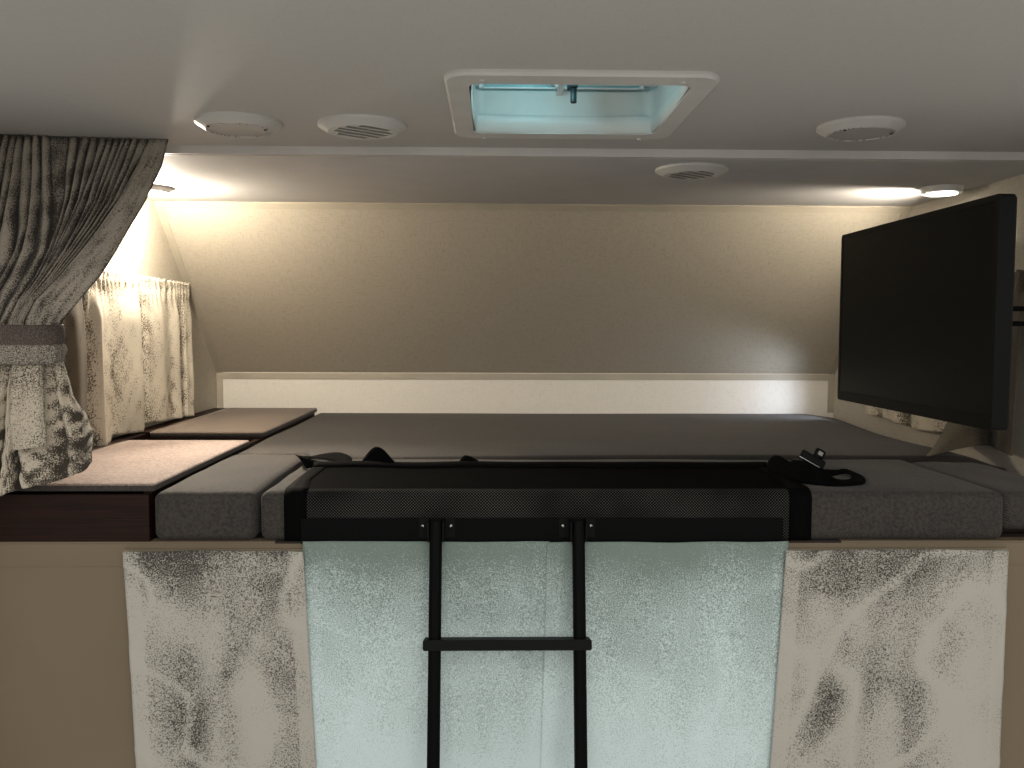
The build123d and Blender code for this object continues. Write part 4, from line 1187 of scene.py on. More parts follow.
@dataclass
class BedCushions:
    """The foam cushions in their twill covers."""

    radius: float = 18 * MM
    pitch: float = 24 * MM
    crown: float = 3.0 * MM
    waist: float = 3 * MM
    clearance: float = 1.2 * MM
    notch_x: float = -0.602
    notch_depth: float = 80 * MM
    swell: float = 1.6 * MM
    crease: float = 0.8 * MM
    proud: float = 7 * MM
    proud_x: tuple[float, float] = (-0.45, 0.1)
    seam_shade_x: float = -0.35
    droop_x: tuple[float, float] = (1.06, 1.19)
    # How far back, and how far the top has sunk beside the right wall
    droop: Pairs = (
        (0.42, 30 * MM), (0.725, 40 * MM), (0.888, 30 * MM), (1.251, 27 * MM), (1.418, 21 * MM),
        (1.604, 14 * MM),
    )
    nodes: tuple[str, ...] = (
        "mattress_back", "cushion_front_main", "cushion_front_left", "cushion_front_right"
    )

    def make(self) -> None:
        """Makes each cushion in the space of its CAD block."""
        for number, node in enumerate(self.nodes):
            self.cushion(node, number)
            LOG.info("cushion %s", node)

    def cushion(self, node: str, seed: int) -> None:
        """Makes one cushion.

        Args:
            node: The CAD block that it replaces.
            seed: What picks its creases.
        """
        low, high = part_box(node)
        low = low + Vector((self.clearance, self.clearance, 0))
        high = high - Vector((self.clearance, self.clearance, 1.5 * MM))
        notched = low.x < self.notch_x < high.x and low.y > 0.1
        cuts = (self.notch_x - 7 * MM, self.notch_x + 1 * MM) if notched else ()
        points, faces, share = rounded_block(low, high, self.radius, self.pitch, cuts)
        s, t, w = share.T
        if notched:
            # The front edge steps back beside the locker's cushion
            step = 1 - smoothstep(points[:, 0], cuts[0], cuts[1])
            fade = 1 - smoothstep(points[:, 1], low.y + 30 * MM, low.y + 260 * MM)
            points[:, 1] += self.notch_depth * step * fade
        middle = np.array(low + high) / 2
        # The top crowns between its edges, and each side is drawn in along its middle
        dome = (1 - (2 * s - 1) ** 6) * (1 - (2 * t - 1) ** 6)
        points[:, 2] += self.crown * dome * smoothstep(w, 0.6, 1.0)
        points[:, 2] += self.swell * ripple(s, t, 40 + seed, 7, 3.0) * smoothstep(w, 0.7, 1.0)
        pull_x = self.waist * (1 - (2 * t - 1) ** 2) * np.sin(np.pi * w)
        pull_y = self.waist * (1 - (2 * s - 1) ** 2) * np.sin(np.pi * w)
        points[:, 0] -= np.sign(points[:, 0] - middle[0]) * pull_x * (np.abs(2 * s - 1) > 0.8)
        points[:, 1] -= np.sign(points[:, 1] - middle[1]) * pull_y * (np.abs(2 * t - 1) > 0.8) * 0.4
        creases = ripple(s * 6, w, 60 + seed, 5, 1.5) * np.exp(-(((w - 0.85) / 0.12) ** 2))
        points[:, 1] += self.crease * creases * (t < 0.1)
        if notched:
            # It stands a little above the front cushions
            proud = smoothstep(points[:, 0], *self.proud_x) * (1 - smoothstep(t, 0.02, 0.3))
            points[:, 2] += self.proud * smoothstep(w, 0.6, 1.0) * proud
        back, sunk = zip(*self.droop)
        beside = smoothstep(points[:, 0], *self.droop_x)
        points[:, 2] -= np.interp(points[:, 1], back, sunk) * beside * smoothstep(w, 0.2, 0.9)
        piece = add_piece(f"{node}_cover", points, faces, Finishes.TWILL, slot="bed_cloth")
        # Painted shade: the mattress's front faces on the right take a darker copy of the twill, where it
        # meets the front cushions
        if notched:
            front = -0.35
            recolour(
                piece, Finishes.SEAM_SHADE_TWILL, lambda face: face.normal.y < front and face.center.x > self.seam_shade_x
            )
        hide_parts(node)


@dataclass
class SideLocker:
    """The low case along the left wall, with its two upholstered lids."""

    edge_radius: float = 5.5 * MM

    def make(self) -> None:
        """Dresses the case and covers the lids."""
        dress({"locker_case": Finishes.WOOD, "wall_ledge": Finishes.WOOD, "locker_hinges": Finishes.STEEL})
        self.lid("near")
        self.lid("far")

    def lid(self, which: str) -> None:
        """Makes one lid's cover: a padded top, and cloth drawn round the board's edge."""
        node = f"locker_lid_{which}"
        low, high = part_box(node)
        points, faces, share = rounded_block(low, high, self.edge_radius, 20 * MM)
        s, t, w = share.T
        dome = (1 - (2 * s - 1) ** 8) * (1 - (2 * t - 1) ** 8)
        points[:, 2] += 2.0 * MM * dome * smoothstep(w, 0.6, 1.0)
        # The far lid takes the darker copy of the twill: painted shade
        top = Finishes.LID_TWILL if which == "near" else Finishes.LID_SHADE_TWILL
        piece = add_piece(f"{node}_cover", points, faces, top, body=f"lid_{which}", slot="lid_cloth")
        # Painted shade: the faces that do not look up take a darker copy of the same cloth
        recolour(piece, Finishes.LID_EDGE, lambda face: face.normal.z < 0.25)
        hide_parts(node)
        LOG.info("lid %s", which)


@dataclass
class SafetyNet:
    """The knitted net over the open edge, its webbing border, its straps and its rail."""

    border: float = 44 * MM
    tape: float = 1.6 * MM
    rise: float = 3.2 * MM
    edge_radius: float = 21 * MM
    border_taper: float = 14 * MM
    columns: int = 90
    doubled_from: float = 14 * MM
    hem_rise: float = 9 * MM
    # Left end, right end, how far back, height, and where the top is, of each fold that stands up
    folds: Table = ((-0.455, -0.352, 0.312, 45 * MM, 0.46), (-0.222, -0.146, 0.312, 25 * MM, 0.28))
    # One edge's x, y and height above the cushion, then the other's, in millimetres
    left_strap: Table = (
        (-520, 292, 1, -524, 304, 9), (-548, 296, 1, -556, 312, 16), (-564, 282, 1, -584, 292, 28),
        (-572, 318, 1, -600, 330, 26), (-586, 380, 1, -612, 404, 13), (-586, 432, 1, -592, 458, 3),
        (-558, 430, 1, -561, 459, 9), (-525, 400, 1, -525, 430, 17), (-496, 350, 1, -494, 376, 22),
        (-482, 318, 1, -470, 348, 13), (-478, 300, 1, -474, 322, 2),
    )
    right_strap: Table = (
        (497, 275, 1, 510, 305, 3), (492, 240, 1, 503, 268, 22), (491, 206, 1, 498, 214, 41),
        (493, 172, 1, 499, 179, 45), (496, 146, 1, 503, 152, 41), (500, 126, 1, 507, 132, 40),
        (508, 96, 1, 513, 102, 41), (525, 74, 1, 527, 80, 40), (549, 57, 1, 549, 71, 36),
        (563, 52, 1, 569, 81, 24), (582, 51, 1, 588, 89, 10), (612, 58, 1, 617, 103, 5),
        (642, 74, 1, 638, 130, 3), (664, 113, 1, 650, 157, 3), (680, 166, 2, 657, 180, 4),
        (681, 205, 3, 652, 186, 5), (662, 217, 10, 638, 188, 3), (642, 213, 9, 621, 182, 1),
        (624, 207, 10, 602, 176, 1), (604, 203, 12, 583, 174, 1),
    )
    # Where the slide sits, and its turn about Y and its lean about X, in degrees
    adjuster_at: Point = (0.5140, 0.094, 1.4260)
    adjuster_turn: float = 29.5
    adjuster_lean: float = 12.0

    def path(self) -> np.ndarray:
        """Returns the net's line in side view, from the rail over the edge to its back hem."""
        low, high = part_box("safety_net")
        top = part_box("cushion_front_main")[1].z + self.rise
        radius = self.edge_radius
        front = low.y
        rows = [(front, z) for z in np.linspace(low.z + 2 * MM, top - radius, 9)]
        for angle in np.linspace(0, math.pi / 2, 9)[1:]:
            rows.append((front + radius * (1 - math.cos(angle)), top - radius + radius * math.sin(angle)))
        rows += [(y, top) for y in np.linspace(front + radius, high.y, 26)[1:]]
        return np.array(rows)

    def sheet(
        self, name: str, left: float, right: float, first: int, lift: float, finish: Finish,
        hemmed: bool = False,
    ) -> Piece:
        """Lays one strip of the net or its tape along the path, as far as its end.

        Args:
            name: The strip's name.
            left: Its left edge.
            right: Its right edge.
            first: Its first point on the path, counted from the end if it is below 0.
            lift: How far it stands off the path.
            finish: What it is made of.
            hemmed: Whether it is rolled up along its middle.

        Returns:
            The strip.
        """
        path = self.path()
        last = len(path) - 1
        first %= len(path)
        low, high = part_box("safety_net")
        slope = np.gradient(path, axis=0)
        normal = np.stack([-slope[:, 1], slope[:, 0]], axis=1)
        normal /= np.linalg.norm(normal, axis=1, keepdims=True)
        along = np.concatenate([[0], np.cumsum(np.linalg.norm(np.diff(path, axis=0), axis=1))])
        xs = np.linspace(left, right, max(4, round(self.columns * (right - left) / (high.x - low.x))))
        flatness = smoothstep(along, 0.1, 0.2)
        # The side borders narrow a little towards the back
        if left < low.x:
            narrowed = left - xs
        elif right > high.x:
            narrowed = right - xs
        else:
            narrowed = 0 * xs
        rows, cloth = [], []
        for i in range(first, last + 1):
            rolled = self.hem_rise * math.sin(math.pi * (i - first) / (last - first)) if hemmed else 0.0
            u = (xs - low.x) / (high.x - low.x)
            v = along[i] / along[-1]
            swell = 1.0 + 0.9 * ripple(u * 2.0, v * 0.8, 11, 6, 2.4)
            wave = 1.6 * MM * swell * flatness[i] + 0.3 * MM * (1 - flatness[i]) * swell
            offset = (lift + rolled + wave)[:, None] * normal[i][None, :]
            inset = self.border_taper * flatness[i] * narrowed / self.border
            for x, squeeze, (dy, dz) in zip(xs, inset, offset):
                rows.append((x + squeeze, path[i, 0] + dy, path[i, 1] + dz))
                cloth.append((x, along[i]))
        faces = grid_faces(last - first + 1, len(xs))
        piece = add_piece(name, np.array(rows), faces, finish, slot="black_net", cloth=np.array(cloth))
        thicken(piece, self.tape)
        return piece

    def make(self) -> None:
        """Makes the net, its tapes, the straps and the buckle."""
        dress({"net_rail": Finishes.ALLOY, "net_buckle": Finishes.BLACK_PLASTIC})
        low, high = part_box("safety_net")
        net = self.sheet("net_mesh", low.x, high.x, 0, 0.0, Finishes.NET)
        # On top the net lies double, and less of the bed shows through it
        recolour(net, Finishes.NET_FOLDED, lambda face: face.center.y > self.doubled_from)
        tape, over, lift = Finishes.WEBBING, 1 * MM, 1.7 * MM
        tapes = [
            self.sheet("net_border_left", low.x - over, low.x + self.border, 0, lift, tape),
            self.sheet("net_border_right", high.x - self.border, high.x + over, 0, lift, tape),
            self.sheet("net_back_binding", low.x, high.x, -5, 2 * MM, tape, hemmed=True),
        ]
        straps = self.straps()
        self.adjuster()
        length = float(np.linalg.norm(np.diff(self.path(), axis=0), axis=1).sum())
        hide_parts("safety_net")
        LOG.info("safety net")

    def band(self, name: str, edges: Table) -> Piece:
        """Makes one strap that runs on its edge or flat between two lines.

        Args:
            name: The strap's name.
            edges: Along the strap, each edge's x, y and height above the cushion, in millimetres.
        """
        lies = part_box("cushion_front_main")[1].z + 2 * MM
        table = np.array(edges) * MM
        halves = (table[:, :3], table[:, 3:])
        one, other = (smooth_line([(x, y, lies + up) for x, y, up in half], 110) for half in halves)
        rows = []
        for v in np.linspace(0, 1, 7):
            row = one * (1 - v) + other * v
            row[:, 2] += 1.5 * MM * math.sin(math.pi * v)
            rows.append(row)
        return hang_cloth(name, np.stack(rows), Finishes.WEBBING, "black_net", 1.8 * MM)

    def straps(self) -> list[Piece]:
        """Makes the strap loops behind the back hem, and the folds that stand up there."""
        made = [self.band("net_strap_left", self.left_strap), self.band("net_strap_right", self.right_strap)]
        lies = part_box("cushion_front_main")[1].z + 2.5 * MM
        for number, (left, right, y, height, peak) in enumerate(self.folds):
            share = np.linspace(0, 1, 40)
            skewed = np.interp(share, (0, peak, 1), (0, 0.5, 1))
            hump = height * np.sin(np.pi * skewed) ** 1.6
            rows = []
            for turn in np.linspace(-math.pi / 2, math.pi / 2, 15):
                out = math.sin(turn) * (3 * MM + 0.16 * hump)
                up = lies + (hump + 1 * MM) * math.cos(turn) ** 0.5
                rows.append(np.stack([left + (right - left) * share, y + out, up], axis=1))
            grid = np.stack(rows)
            made.append(hang_cloth(f"net_fold_{number}", grid, Finishes.WEBBING, "black_net", self.tape))
        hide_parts("net_straps")
        LOG.info("straps")
        return made

    def adjuster(self) -> None:
        """Makes the slide that the right strap runs through, with its pin and its release tab."""
        turn = Matrix.Rotation(math.radians(self.adjuster_turn), 4, "Y")
        turn = turn @ Matrix.Rotation(math.radians(-self.adjuster_lean), 4, "X")

        def placed(low: Point, high: Point, radius: float) -> Mesh:
            """Makes a rounded block in the adjuster's own frame, from sizes in millimetres."""
            points, faces, _ = rounded_block(Vector(low) * MM, Vector(high) * MM, radius * MM, 10 * MM)
            return np.array([tuple(Vector(self.adjuster_at) + turn @ Vector(p)) for p in points]), faces

        slide = placed((0, 0, 0), (57, 9, 21), 3.5)
        lever = placed((27, 5, 22), (50, 13, 41), 4.5)
        neck = placed((30, 4, 18), (40, 9, 26), 2)
        body = joined([slide, lever, neck])
        add_piece("strap_adjuster", *body, Finishes.BLACK_PLASTIC, slot="black_plastic")
        pin = placed((-3, -2.4, 0.6), (60, 0.4, 3.4), 1.3)
        add_piece("adjuster_pin", *pin, Finishes.STEEL, slot="hinge_steel")
        tab = placed((33, 3.4, 27), (44, 5.6, 36), 1)
        add_piece("release_tab", *tab, Finishes.TAB, slot="black_plastic")
        LOG.info("strap adjuster")


@dataclass
class Ladder:
    """The ladder on its brackets, with their screws."""

    bracket_half: float = 36 * MM
    screw_spread: float = 28 * MM
    screw_rise: float = 4 * MM
    plate_y: float = -12 * MM

    def make(self) -> None:
        """Dresses the ladder and adds the brackets' screws."""
        dress(
            {
                "ladder_brackets": Finishes.BLACK_PLASTIC,
                "ladder_rails": Finishes.ALLOY,
                "ladder_rungs": Finishes.BLACK_PLASTIC,
                "ladder_feet": Finishes.RUBBER,
            }
        )
        low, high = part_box("ladder_brackets")
        places = [
            (x + hand * self.screw_spread, self.plate_y, (low.z + high.z) / 2 + self.screw_rise)
            for x in (low.x + self.bracket_half, high.x - self.bracket_half)
            for hand in (-1, 1)
        ]
        heads = screw_heads(places, (0, -1, 0), 3.2 * MM)
        add_piece("bracket_screws", *heads, Finishes.STEEL, slot="hinge_steel")
        LOG.info("ladder")


@dataclass
class Television:
    """The television on its swing arm."""

    def make(self) -> None:
        """Dresses the case, the screen and the arm."""
        arm = {node: Finishes.ALLOY for node in ("tv_head", "tv_arm", "tv_wall_plate")}
        dress({"tv_body": Finishes.TV_CASE, "tv_screen": Finishes.TV_SCREEN, **arm})


@dataclass
class BerthCurtain:
    """The gathered curtain at the berth's left end, held to the wall by its tie-back."""

    thickness: float = 1.2 * MM
    wall_x: float = -1.194
    head_y: tuple[float, float] = (0.182, 0.223)
    head_width: float = 0.35
    tie_y: float = -0.046
    tie_z: float = 1.705
    foot_y: float = -0.060
    leaf_corner: Point = (-1.0375, -0.073, 1.640)
    leaf_width: float = 55.5 * MM
    leaf_length: float = 176 * MM
    shares: tuple[float, ...] = (0.0, 0.36, 0.40, 0.82, 1.0)
    counts: tuple[int, ...] = (112, 8, 170, 46)
    upper_rows: int = 84
    lower_rows: int = 60
    drop: float = 0.80
    painted_shading_edge: float = 1.66
    wall_gap: float = 2.5 * MM
    left_ridges: tuple[float, ...] = (0.07, 0.21, 0.33, 0.45, 0.59, 0.74, 0.91)
    right_ridges: tuple[float, ...] = (0.05, 0.21, 0.31, 0.42, 0.51, 0.60, 0.68, 0.74, 0.82, 0.92)
    # Height, and where the left folds, the right folds, the plain panel and the free edge are
    guides: Table = (
        (2.1045, -1.086, -1.048, -0.884, -0.844), (2.0400, -1.068, -1.038, -0.893, -0.845),
        (1.9570, -1.043, -1.022, -0.910, -0.860), (1.9000, -1.030, -1.019, -0.932, -0.878),
        (1.8490, -1.026, -1.020, -0.957, -0.891), (1.7970, -1.034, -1.030, -0.986, -0.908),
        (1.7470, -1.052, -1.048, -1.020, -0.934), (1.7050, -1.060, -1.056, -1.028, -0.956),
        (1.6400, -1.060, -1.056, -1.030, -0.957),
    )
    low_shares: tuple[float, ...] = (0.0, 0.36, 0.40, 0.60, 0.74, 0.82, 0.86, 0.93, 0.97, 1.0)
    # Height, and where each share of the cloth hangs below the tie-back
    low_guides: Table = (
        (1.640, -1.194, -1.060, -1.056, -1.046, -1.038, -1.030, -1.012, -0.978, -0.966, -0.957),
        (1.600, -1.194, -1.066, -1.060, -1.048, -1.041, -1.036, -1.024, -0.976, -0.961, -0.946),
        (1.550, -1.194, -1.076, -1.066, -1.050, -1.043, -1.038, -1.028, -0.974, -0.953, -0.933),
        (1.500, -1.194, -1.088, -1.072, -1.052, -1.045, -1.040, -1.029, -0.969, -0.939, -0.910),
        (1.440, -1.194, -1.098, -1.080, -1.056, -1.047, -1.040, -1.026, -0.963, -0.926, -0.894),
        (1.370, -1.194, -1.104, -1.084, -1.054, -1.044, -1.034, -1.012, -0.960, -0.926, -0.898),
    )
    # Share of the cloth, and how far it stands towards the room
    low_depths: Pairs = (
        (0.00, 0.0), (0.07, 10 * MM), (0.14, -8 * MM), (0.22, 11 * MM), (0.30, -7 * MM), (0.37, 8 * MM),
        (0.42, -10 * MM), (0.54, 9 * MM), (0.66, 5 * MM), (0.75, -18 * MM), (0.80, -14 * MM), (0.835, 4 * MM),
        (0.90, 2 * MM), (0.935, -13 * MM), (0.955, 4 * MM), (0.975, -9 * MM), (1.00, 5 * MM),
    )
    # How far right, and how high the hem hangs there
    hem: Pairs = (
        (-1.194, 1.368), (-1.076, 1.372), (-1.043, 1.386), (-0.967, 1.402), (-0.924, 1.418), (-0.894, 1.444)
    )

    def columns(self) -> np.ndarray:
        """Returns the shares of the cloth where its columns are, closer together in the folds."""
        spans = zip(self.shares, self.shares[1:], self.counts)
        parts = [np.linspace(start, end, count, endpoint=False) for start, end, count in spans]
        return np.concatenate([*parts, [1.0]])

    def stations(self, u: np.ndarray, fall: float) -> tuple[np.ndarray, np.ndarray]:
        """Places each column between the guides and gives its phase in the folds.

        Args:
            u: The columns' shares of the cloth.
            fall: How far down from the heading to the tie-back, from 0 to 1.

        Returns:
            Each column's guide number with its share of the way to the next, and its phase.
        """
        station, phase = np.zeros_like(u), np.zeros_like(u)
        turns = 0.0
        even = smoothstep(fall, 0.05, 0.6)
        for number, ridges in enumerate((self.left_ridges, (), self.right_ridges, ())):
            low, high = self.shares[number], self.shares[number + 1]
            inside = (u >= low) & (u <= high) if number == 3 else (u >= low) & (u < high)
            local = (u[inside] - low) / (high - low)
            count = len(ridges)
            if count:
                turn = local * count
                tops = [0, *(np.arange(count) + 0.5), count]
                places = np.interp(turn, tops, [0, *ridges, 1])
                drift = 0.035 * np.sin(2.6 * turn + 5 * fall) * np.sin(np.pi * local)
                station[inside] = number + places * (1 - even) + (local + drift) * even
                phase[inside] = turns + turn
            else:
                station[inside] = number + local
                phase[inside] = turns
            turns += count
        return station, phase

    def upper(self, u: np.ndarray) -> tuple[list[np.ndarray], list[np.ndarray]]:
        """Returns the rows from the heading down to the tie-back's foot, and their painted shade and
        highlight.
        """
        table = np.array(self.guides)
        rows, shade_and_crush = [], []
        top = table[0, 0]
        for z in np.linspace(top, table[-1, 0], self.upper_rows):
            fall = min(1.0, (top - z) / (top - self.tie_z))
            places = [self.wall_x, *guide_places(z, table)]
            station, phase = self.stations(u, fall)
            x = np.interp(station, range(5), places)
            ridge = np.abs(np.sin(np.pi * phase)) ** 0.8
            number = np.floor(phase)
            turned = np.sin(2 * np.pi * (0.8 * fall + 0.37 * number))
            uneven = 1 + 0.4 * turned + 0.25 * np.sin(5.1 * number)
            depth = (8 + 10 * math.sin(math.pi * min(1.0, 0.12 + 0.95 * fall))) * MM * uneven
            plain = smoothstep(u, self.shares[3] - 0.004, self.shares[3] + 0.012)
            head = self.head_y[0] + (self.head_y[1] - self.head_y[0]) * (x - self.wall_x) / self.head_width
            middle = head + (self.tie_y - head) * fall
            y = middle + depth * (0.6 - ridge) * (1 - plain)
            # The plain panel bellies towards the room and rolls back at its free edge
            local = np.clip((u - self.shares[3]) / (1 - self.shares[3]), 0, 1)
            belly = plain * (4 + 16 * math.sin(math.pi * fall) * np.sin(np.pi * local**0.7)) * MM
            roll = 9 * MM * smoothstep(local, 0.86, 1.0) * math.sin(math.pi * min(1.0, fall + 0.1))
            stitched = 1.6 * MM * np.exp(-(((local - 0.12) / 0.03) ** 2)) * plain
            y = y - belly + roll - stitched + 2.5 * MM * ripple(u * 3, fall, 5, 6, 2.5)
            # Pinched heading
            y = y + (middle - y) * 0.35 * math.exp(-((fall / 0.05) ** 2))
            x = x + 2.2 * MM * np.sin(2 * np.pi * phase) * (1 - plain) * fall
            rows.append(np.stack([x, y, np.full_like(x, z)], axis=1))
            crumple = ripple(u * 9, fall * 2.5, 15, 10, 3.0)
            # Painted highlight and shade: the ridges paler and the valleys darker, over crushed patches; the
            # flat strip darker all over
            fold_shading = 0.35 * ridge**3 - 0.9 * (1 - ridge) ** 1.5 + 0.3 * crumple - 0.1
            flat = (u >= self.shares[1]) & (u < self.shares[2])
            fold_shading = np.where(flat, 0.3 * crumple - 0.25, fold_shading)
            # Painted shade: the plain panel is drawn dark at its seam and its free edge, and all the cloth at
            # its heading
            seam, edge = np.exp(-((local / 0.06) ** 2)), smoothstep(local, 0.93, 1.0)
            shade = 0.3 * crumple - 0.6 * seam - 0.7 * edge + 0.2
            shade_and_crush.append(fold_shading * (1 - plain) + plain * shade - 0.5 * math.exp(-((fall / 0.03) ** 2)))
        return rows, shade_and_crush

    def lower(self, u: np.ndarray, last: np.ndarray) -> tuple[list[np.ndarray], list[np.ndarray]]:
        """Returns the rows from the tie-back down to the hem, and their painted shade and highlight.

        Args:
            u: The columns' shares of the cloth.
            last: The row at the tie-back's foot.
        """
        table = np.array(self.low_guides)
        top = table[0, 0]
        folds = fold_depths(u, self.low_depths)
        rows, shade_and_crush = [], []
        for i in range(1, self.lower_rows):
            s = i / (self.lower_rows - 1)
            level = top + (table[-1, 0] - top) * s
            x = np.interp(u, self.low_shares, guide_places(level, table))
            foot = np.interp(x, *np.array(self.hem).T)
            z = top + (foot - top) * s
            opened = smoothstep(s, 0.0, 0.35)
            crease = ripple(u * 4, s * 1.6, 8, 8, 2.6)
            y = self.tie_y + (self.foot_y - self.tie_y) * s - folds * opened * (1.0 + 0.5 * s)
            fine = ripple(u * 9, s * 3.4, 9, 10, 2.8)
            low_part = smoothstep(s, 0.66, 0.74)
            y = y - (4.0 * crease + (1.5 + 2 * low_part) * fine) * MM * opened
            # The hem is turned up and stands a little proud
            y = y - 3 * MM * smoothstep(s, 0.86, 0.9)
            y = (last[:, 1] - self.tie_y) * (1 - opened) + y
            z = z + 1.5 * MM * crease * s
            rows.append(np.stack([x, np.minimum(y, -9 * MM), z], axis=1))
            # Painted highlight and shade: the folds paler where they stand out and darker where they sink
            # back, over crushed patches and creases, and painted shade on the low band under the leaf
            fold_shading = 0.45 * folds / (14 * MM) + 0.3 * crease + 0.6 * fine
            shade_and_crush.append(fold_shading * opened - 0.35 * low_part)
        return rows, shade_and_crush

    def front_leaf(self) -> Piece:
        """Makes the flat fold of cloth that hangs in front below the tie-back."""
        left, front, top = self.leaf_corner
        u = np.linspace(0, 1, 34)
        rows = []
        for s in np.linspace(0, 1, 60):
            x = left + 1 * MM * math.sin(7 * s) + (self.leaf_width + 6 * MM * s) * u
            swell = 5 * MM * np.sin(np.pi * u) ** 0.5 + 2.4 * MM * ripple(u * 0.8, s * 1.5, 77, 8, 2.8)
            y = front - 11 * MM * smoothstep(s, 0.0, 0.3) - swell + 7 * MM * smoothstep(u, 0.9, 1.0)
            length = self.leaf_length - 10 * MM * u + 2 * MM * ripple(u * 0.6, 0.0, 78, 4, 2.0)
            rows.append(np.stack([x, y, top - length * s], axis=1))
        grid = np.stack(rows)
        # The leaf takes the paler copy of the cloth: painted light
        return hang_cloth("berth_curtain_leaf", grid, Finishes.BERTH_CLOTH_LIT, "berth_cloth", self.thickness)

    def make(self) -> None:
        """Makes the curtain and its tie-back."""
        u = self.columns()
        rows, shade_and_crush = self.upper(u)
        low_rows, low_shade_and_crush = self.lower(u, rows[-1])
        grid = np.stack(rows + low_rows)
        grid[..., 0] = np.maximum(grid[..., 0], self.wall_gap - WALL)
        wear_and_shade = np.stack(shade_and_crush + low_shade_and_crush)
        piece = hang_cloth(
            "berth_curtain_cloth", grid, Finishes.BERTH_CLOTH, "berth_cloth", self.thickness, wear_and_shade
        )
        # Painted light: below the tie-back the cloth takes a paler copy of itself
        recolour(piece, Finishes.BERTH_CLOTH_LIT, lambda face: face.center.z < self.painted_shading_edge)
        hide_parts("berth_curtain")
        leaf = self.front_leaf()
        self.tieback()

    def tieback(self) -> Piece:
        """Makes the band round the gathered cloth, with a seam along its middle."""
        low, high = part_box("curtain_tieback")
        middle = ((low.x + high.x) / 2 + 1 * MM, (low.y + high.y) / 2)
        half = ((high.x - low.x) / 2 - 2 * MM, (high.y - low.y) / 2 + 2 * MM)
        turn = np.linspace(0, 2 * np.pi, 120)
        cx, cy = np.cos(turn), np.sin(turn)
        rows = []
        for s in np.linspace(0, 1, 30):
            creases = ripple(turn / 6.28 * 5, s * 1.2, 91, 8, 3.0)
            soft = smoothstep(0.55 - s, 0.0, 0.1)
            puff = 2.4 * MM * abs(math.sin(2 * math.pi * s)) ** 0.6 - 1.5 * MM
            out = puff + (0.5 + 2.2 * soft) * MM * creases
            x = middle[0] + (half[0] + out) * np.sign(cx) * np.abs(cx) ** 0.45
            y = middle[1] + (half[1] + out) * np.sign(cy) * np.abs(cy) ** 0.8
            z = low.z + (high.z - low.z) * s + 1.2 * MM * np.sin(2 * turn + 0.5)
            rows.append(np.stack([np.maximum(x, 1.5 * MM - WALL), y, z], axis=1))
        band = hang_cloth("tieback_band", np.stack(rows), Finishes.TIE_CLOTH, "berth_cloth", 2.4 * MM)
        seam = low.z + 0.48 * (high.z - low.z)
        recolour(band, Finishes.BERTH_CLOTH, lambda face: face.center.z < seam)
        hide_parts("curtain_tieback")
        return band


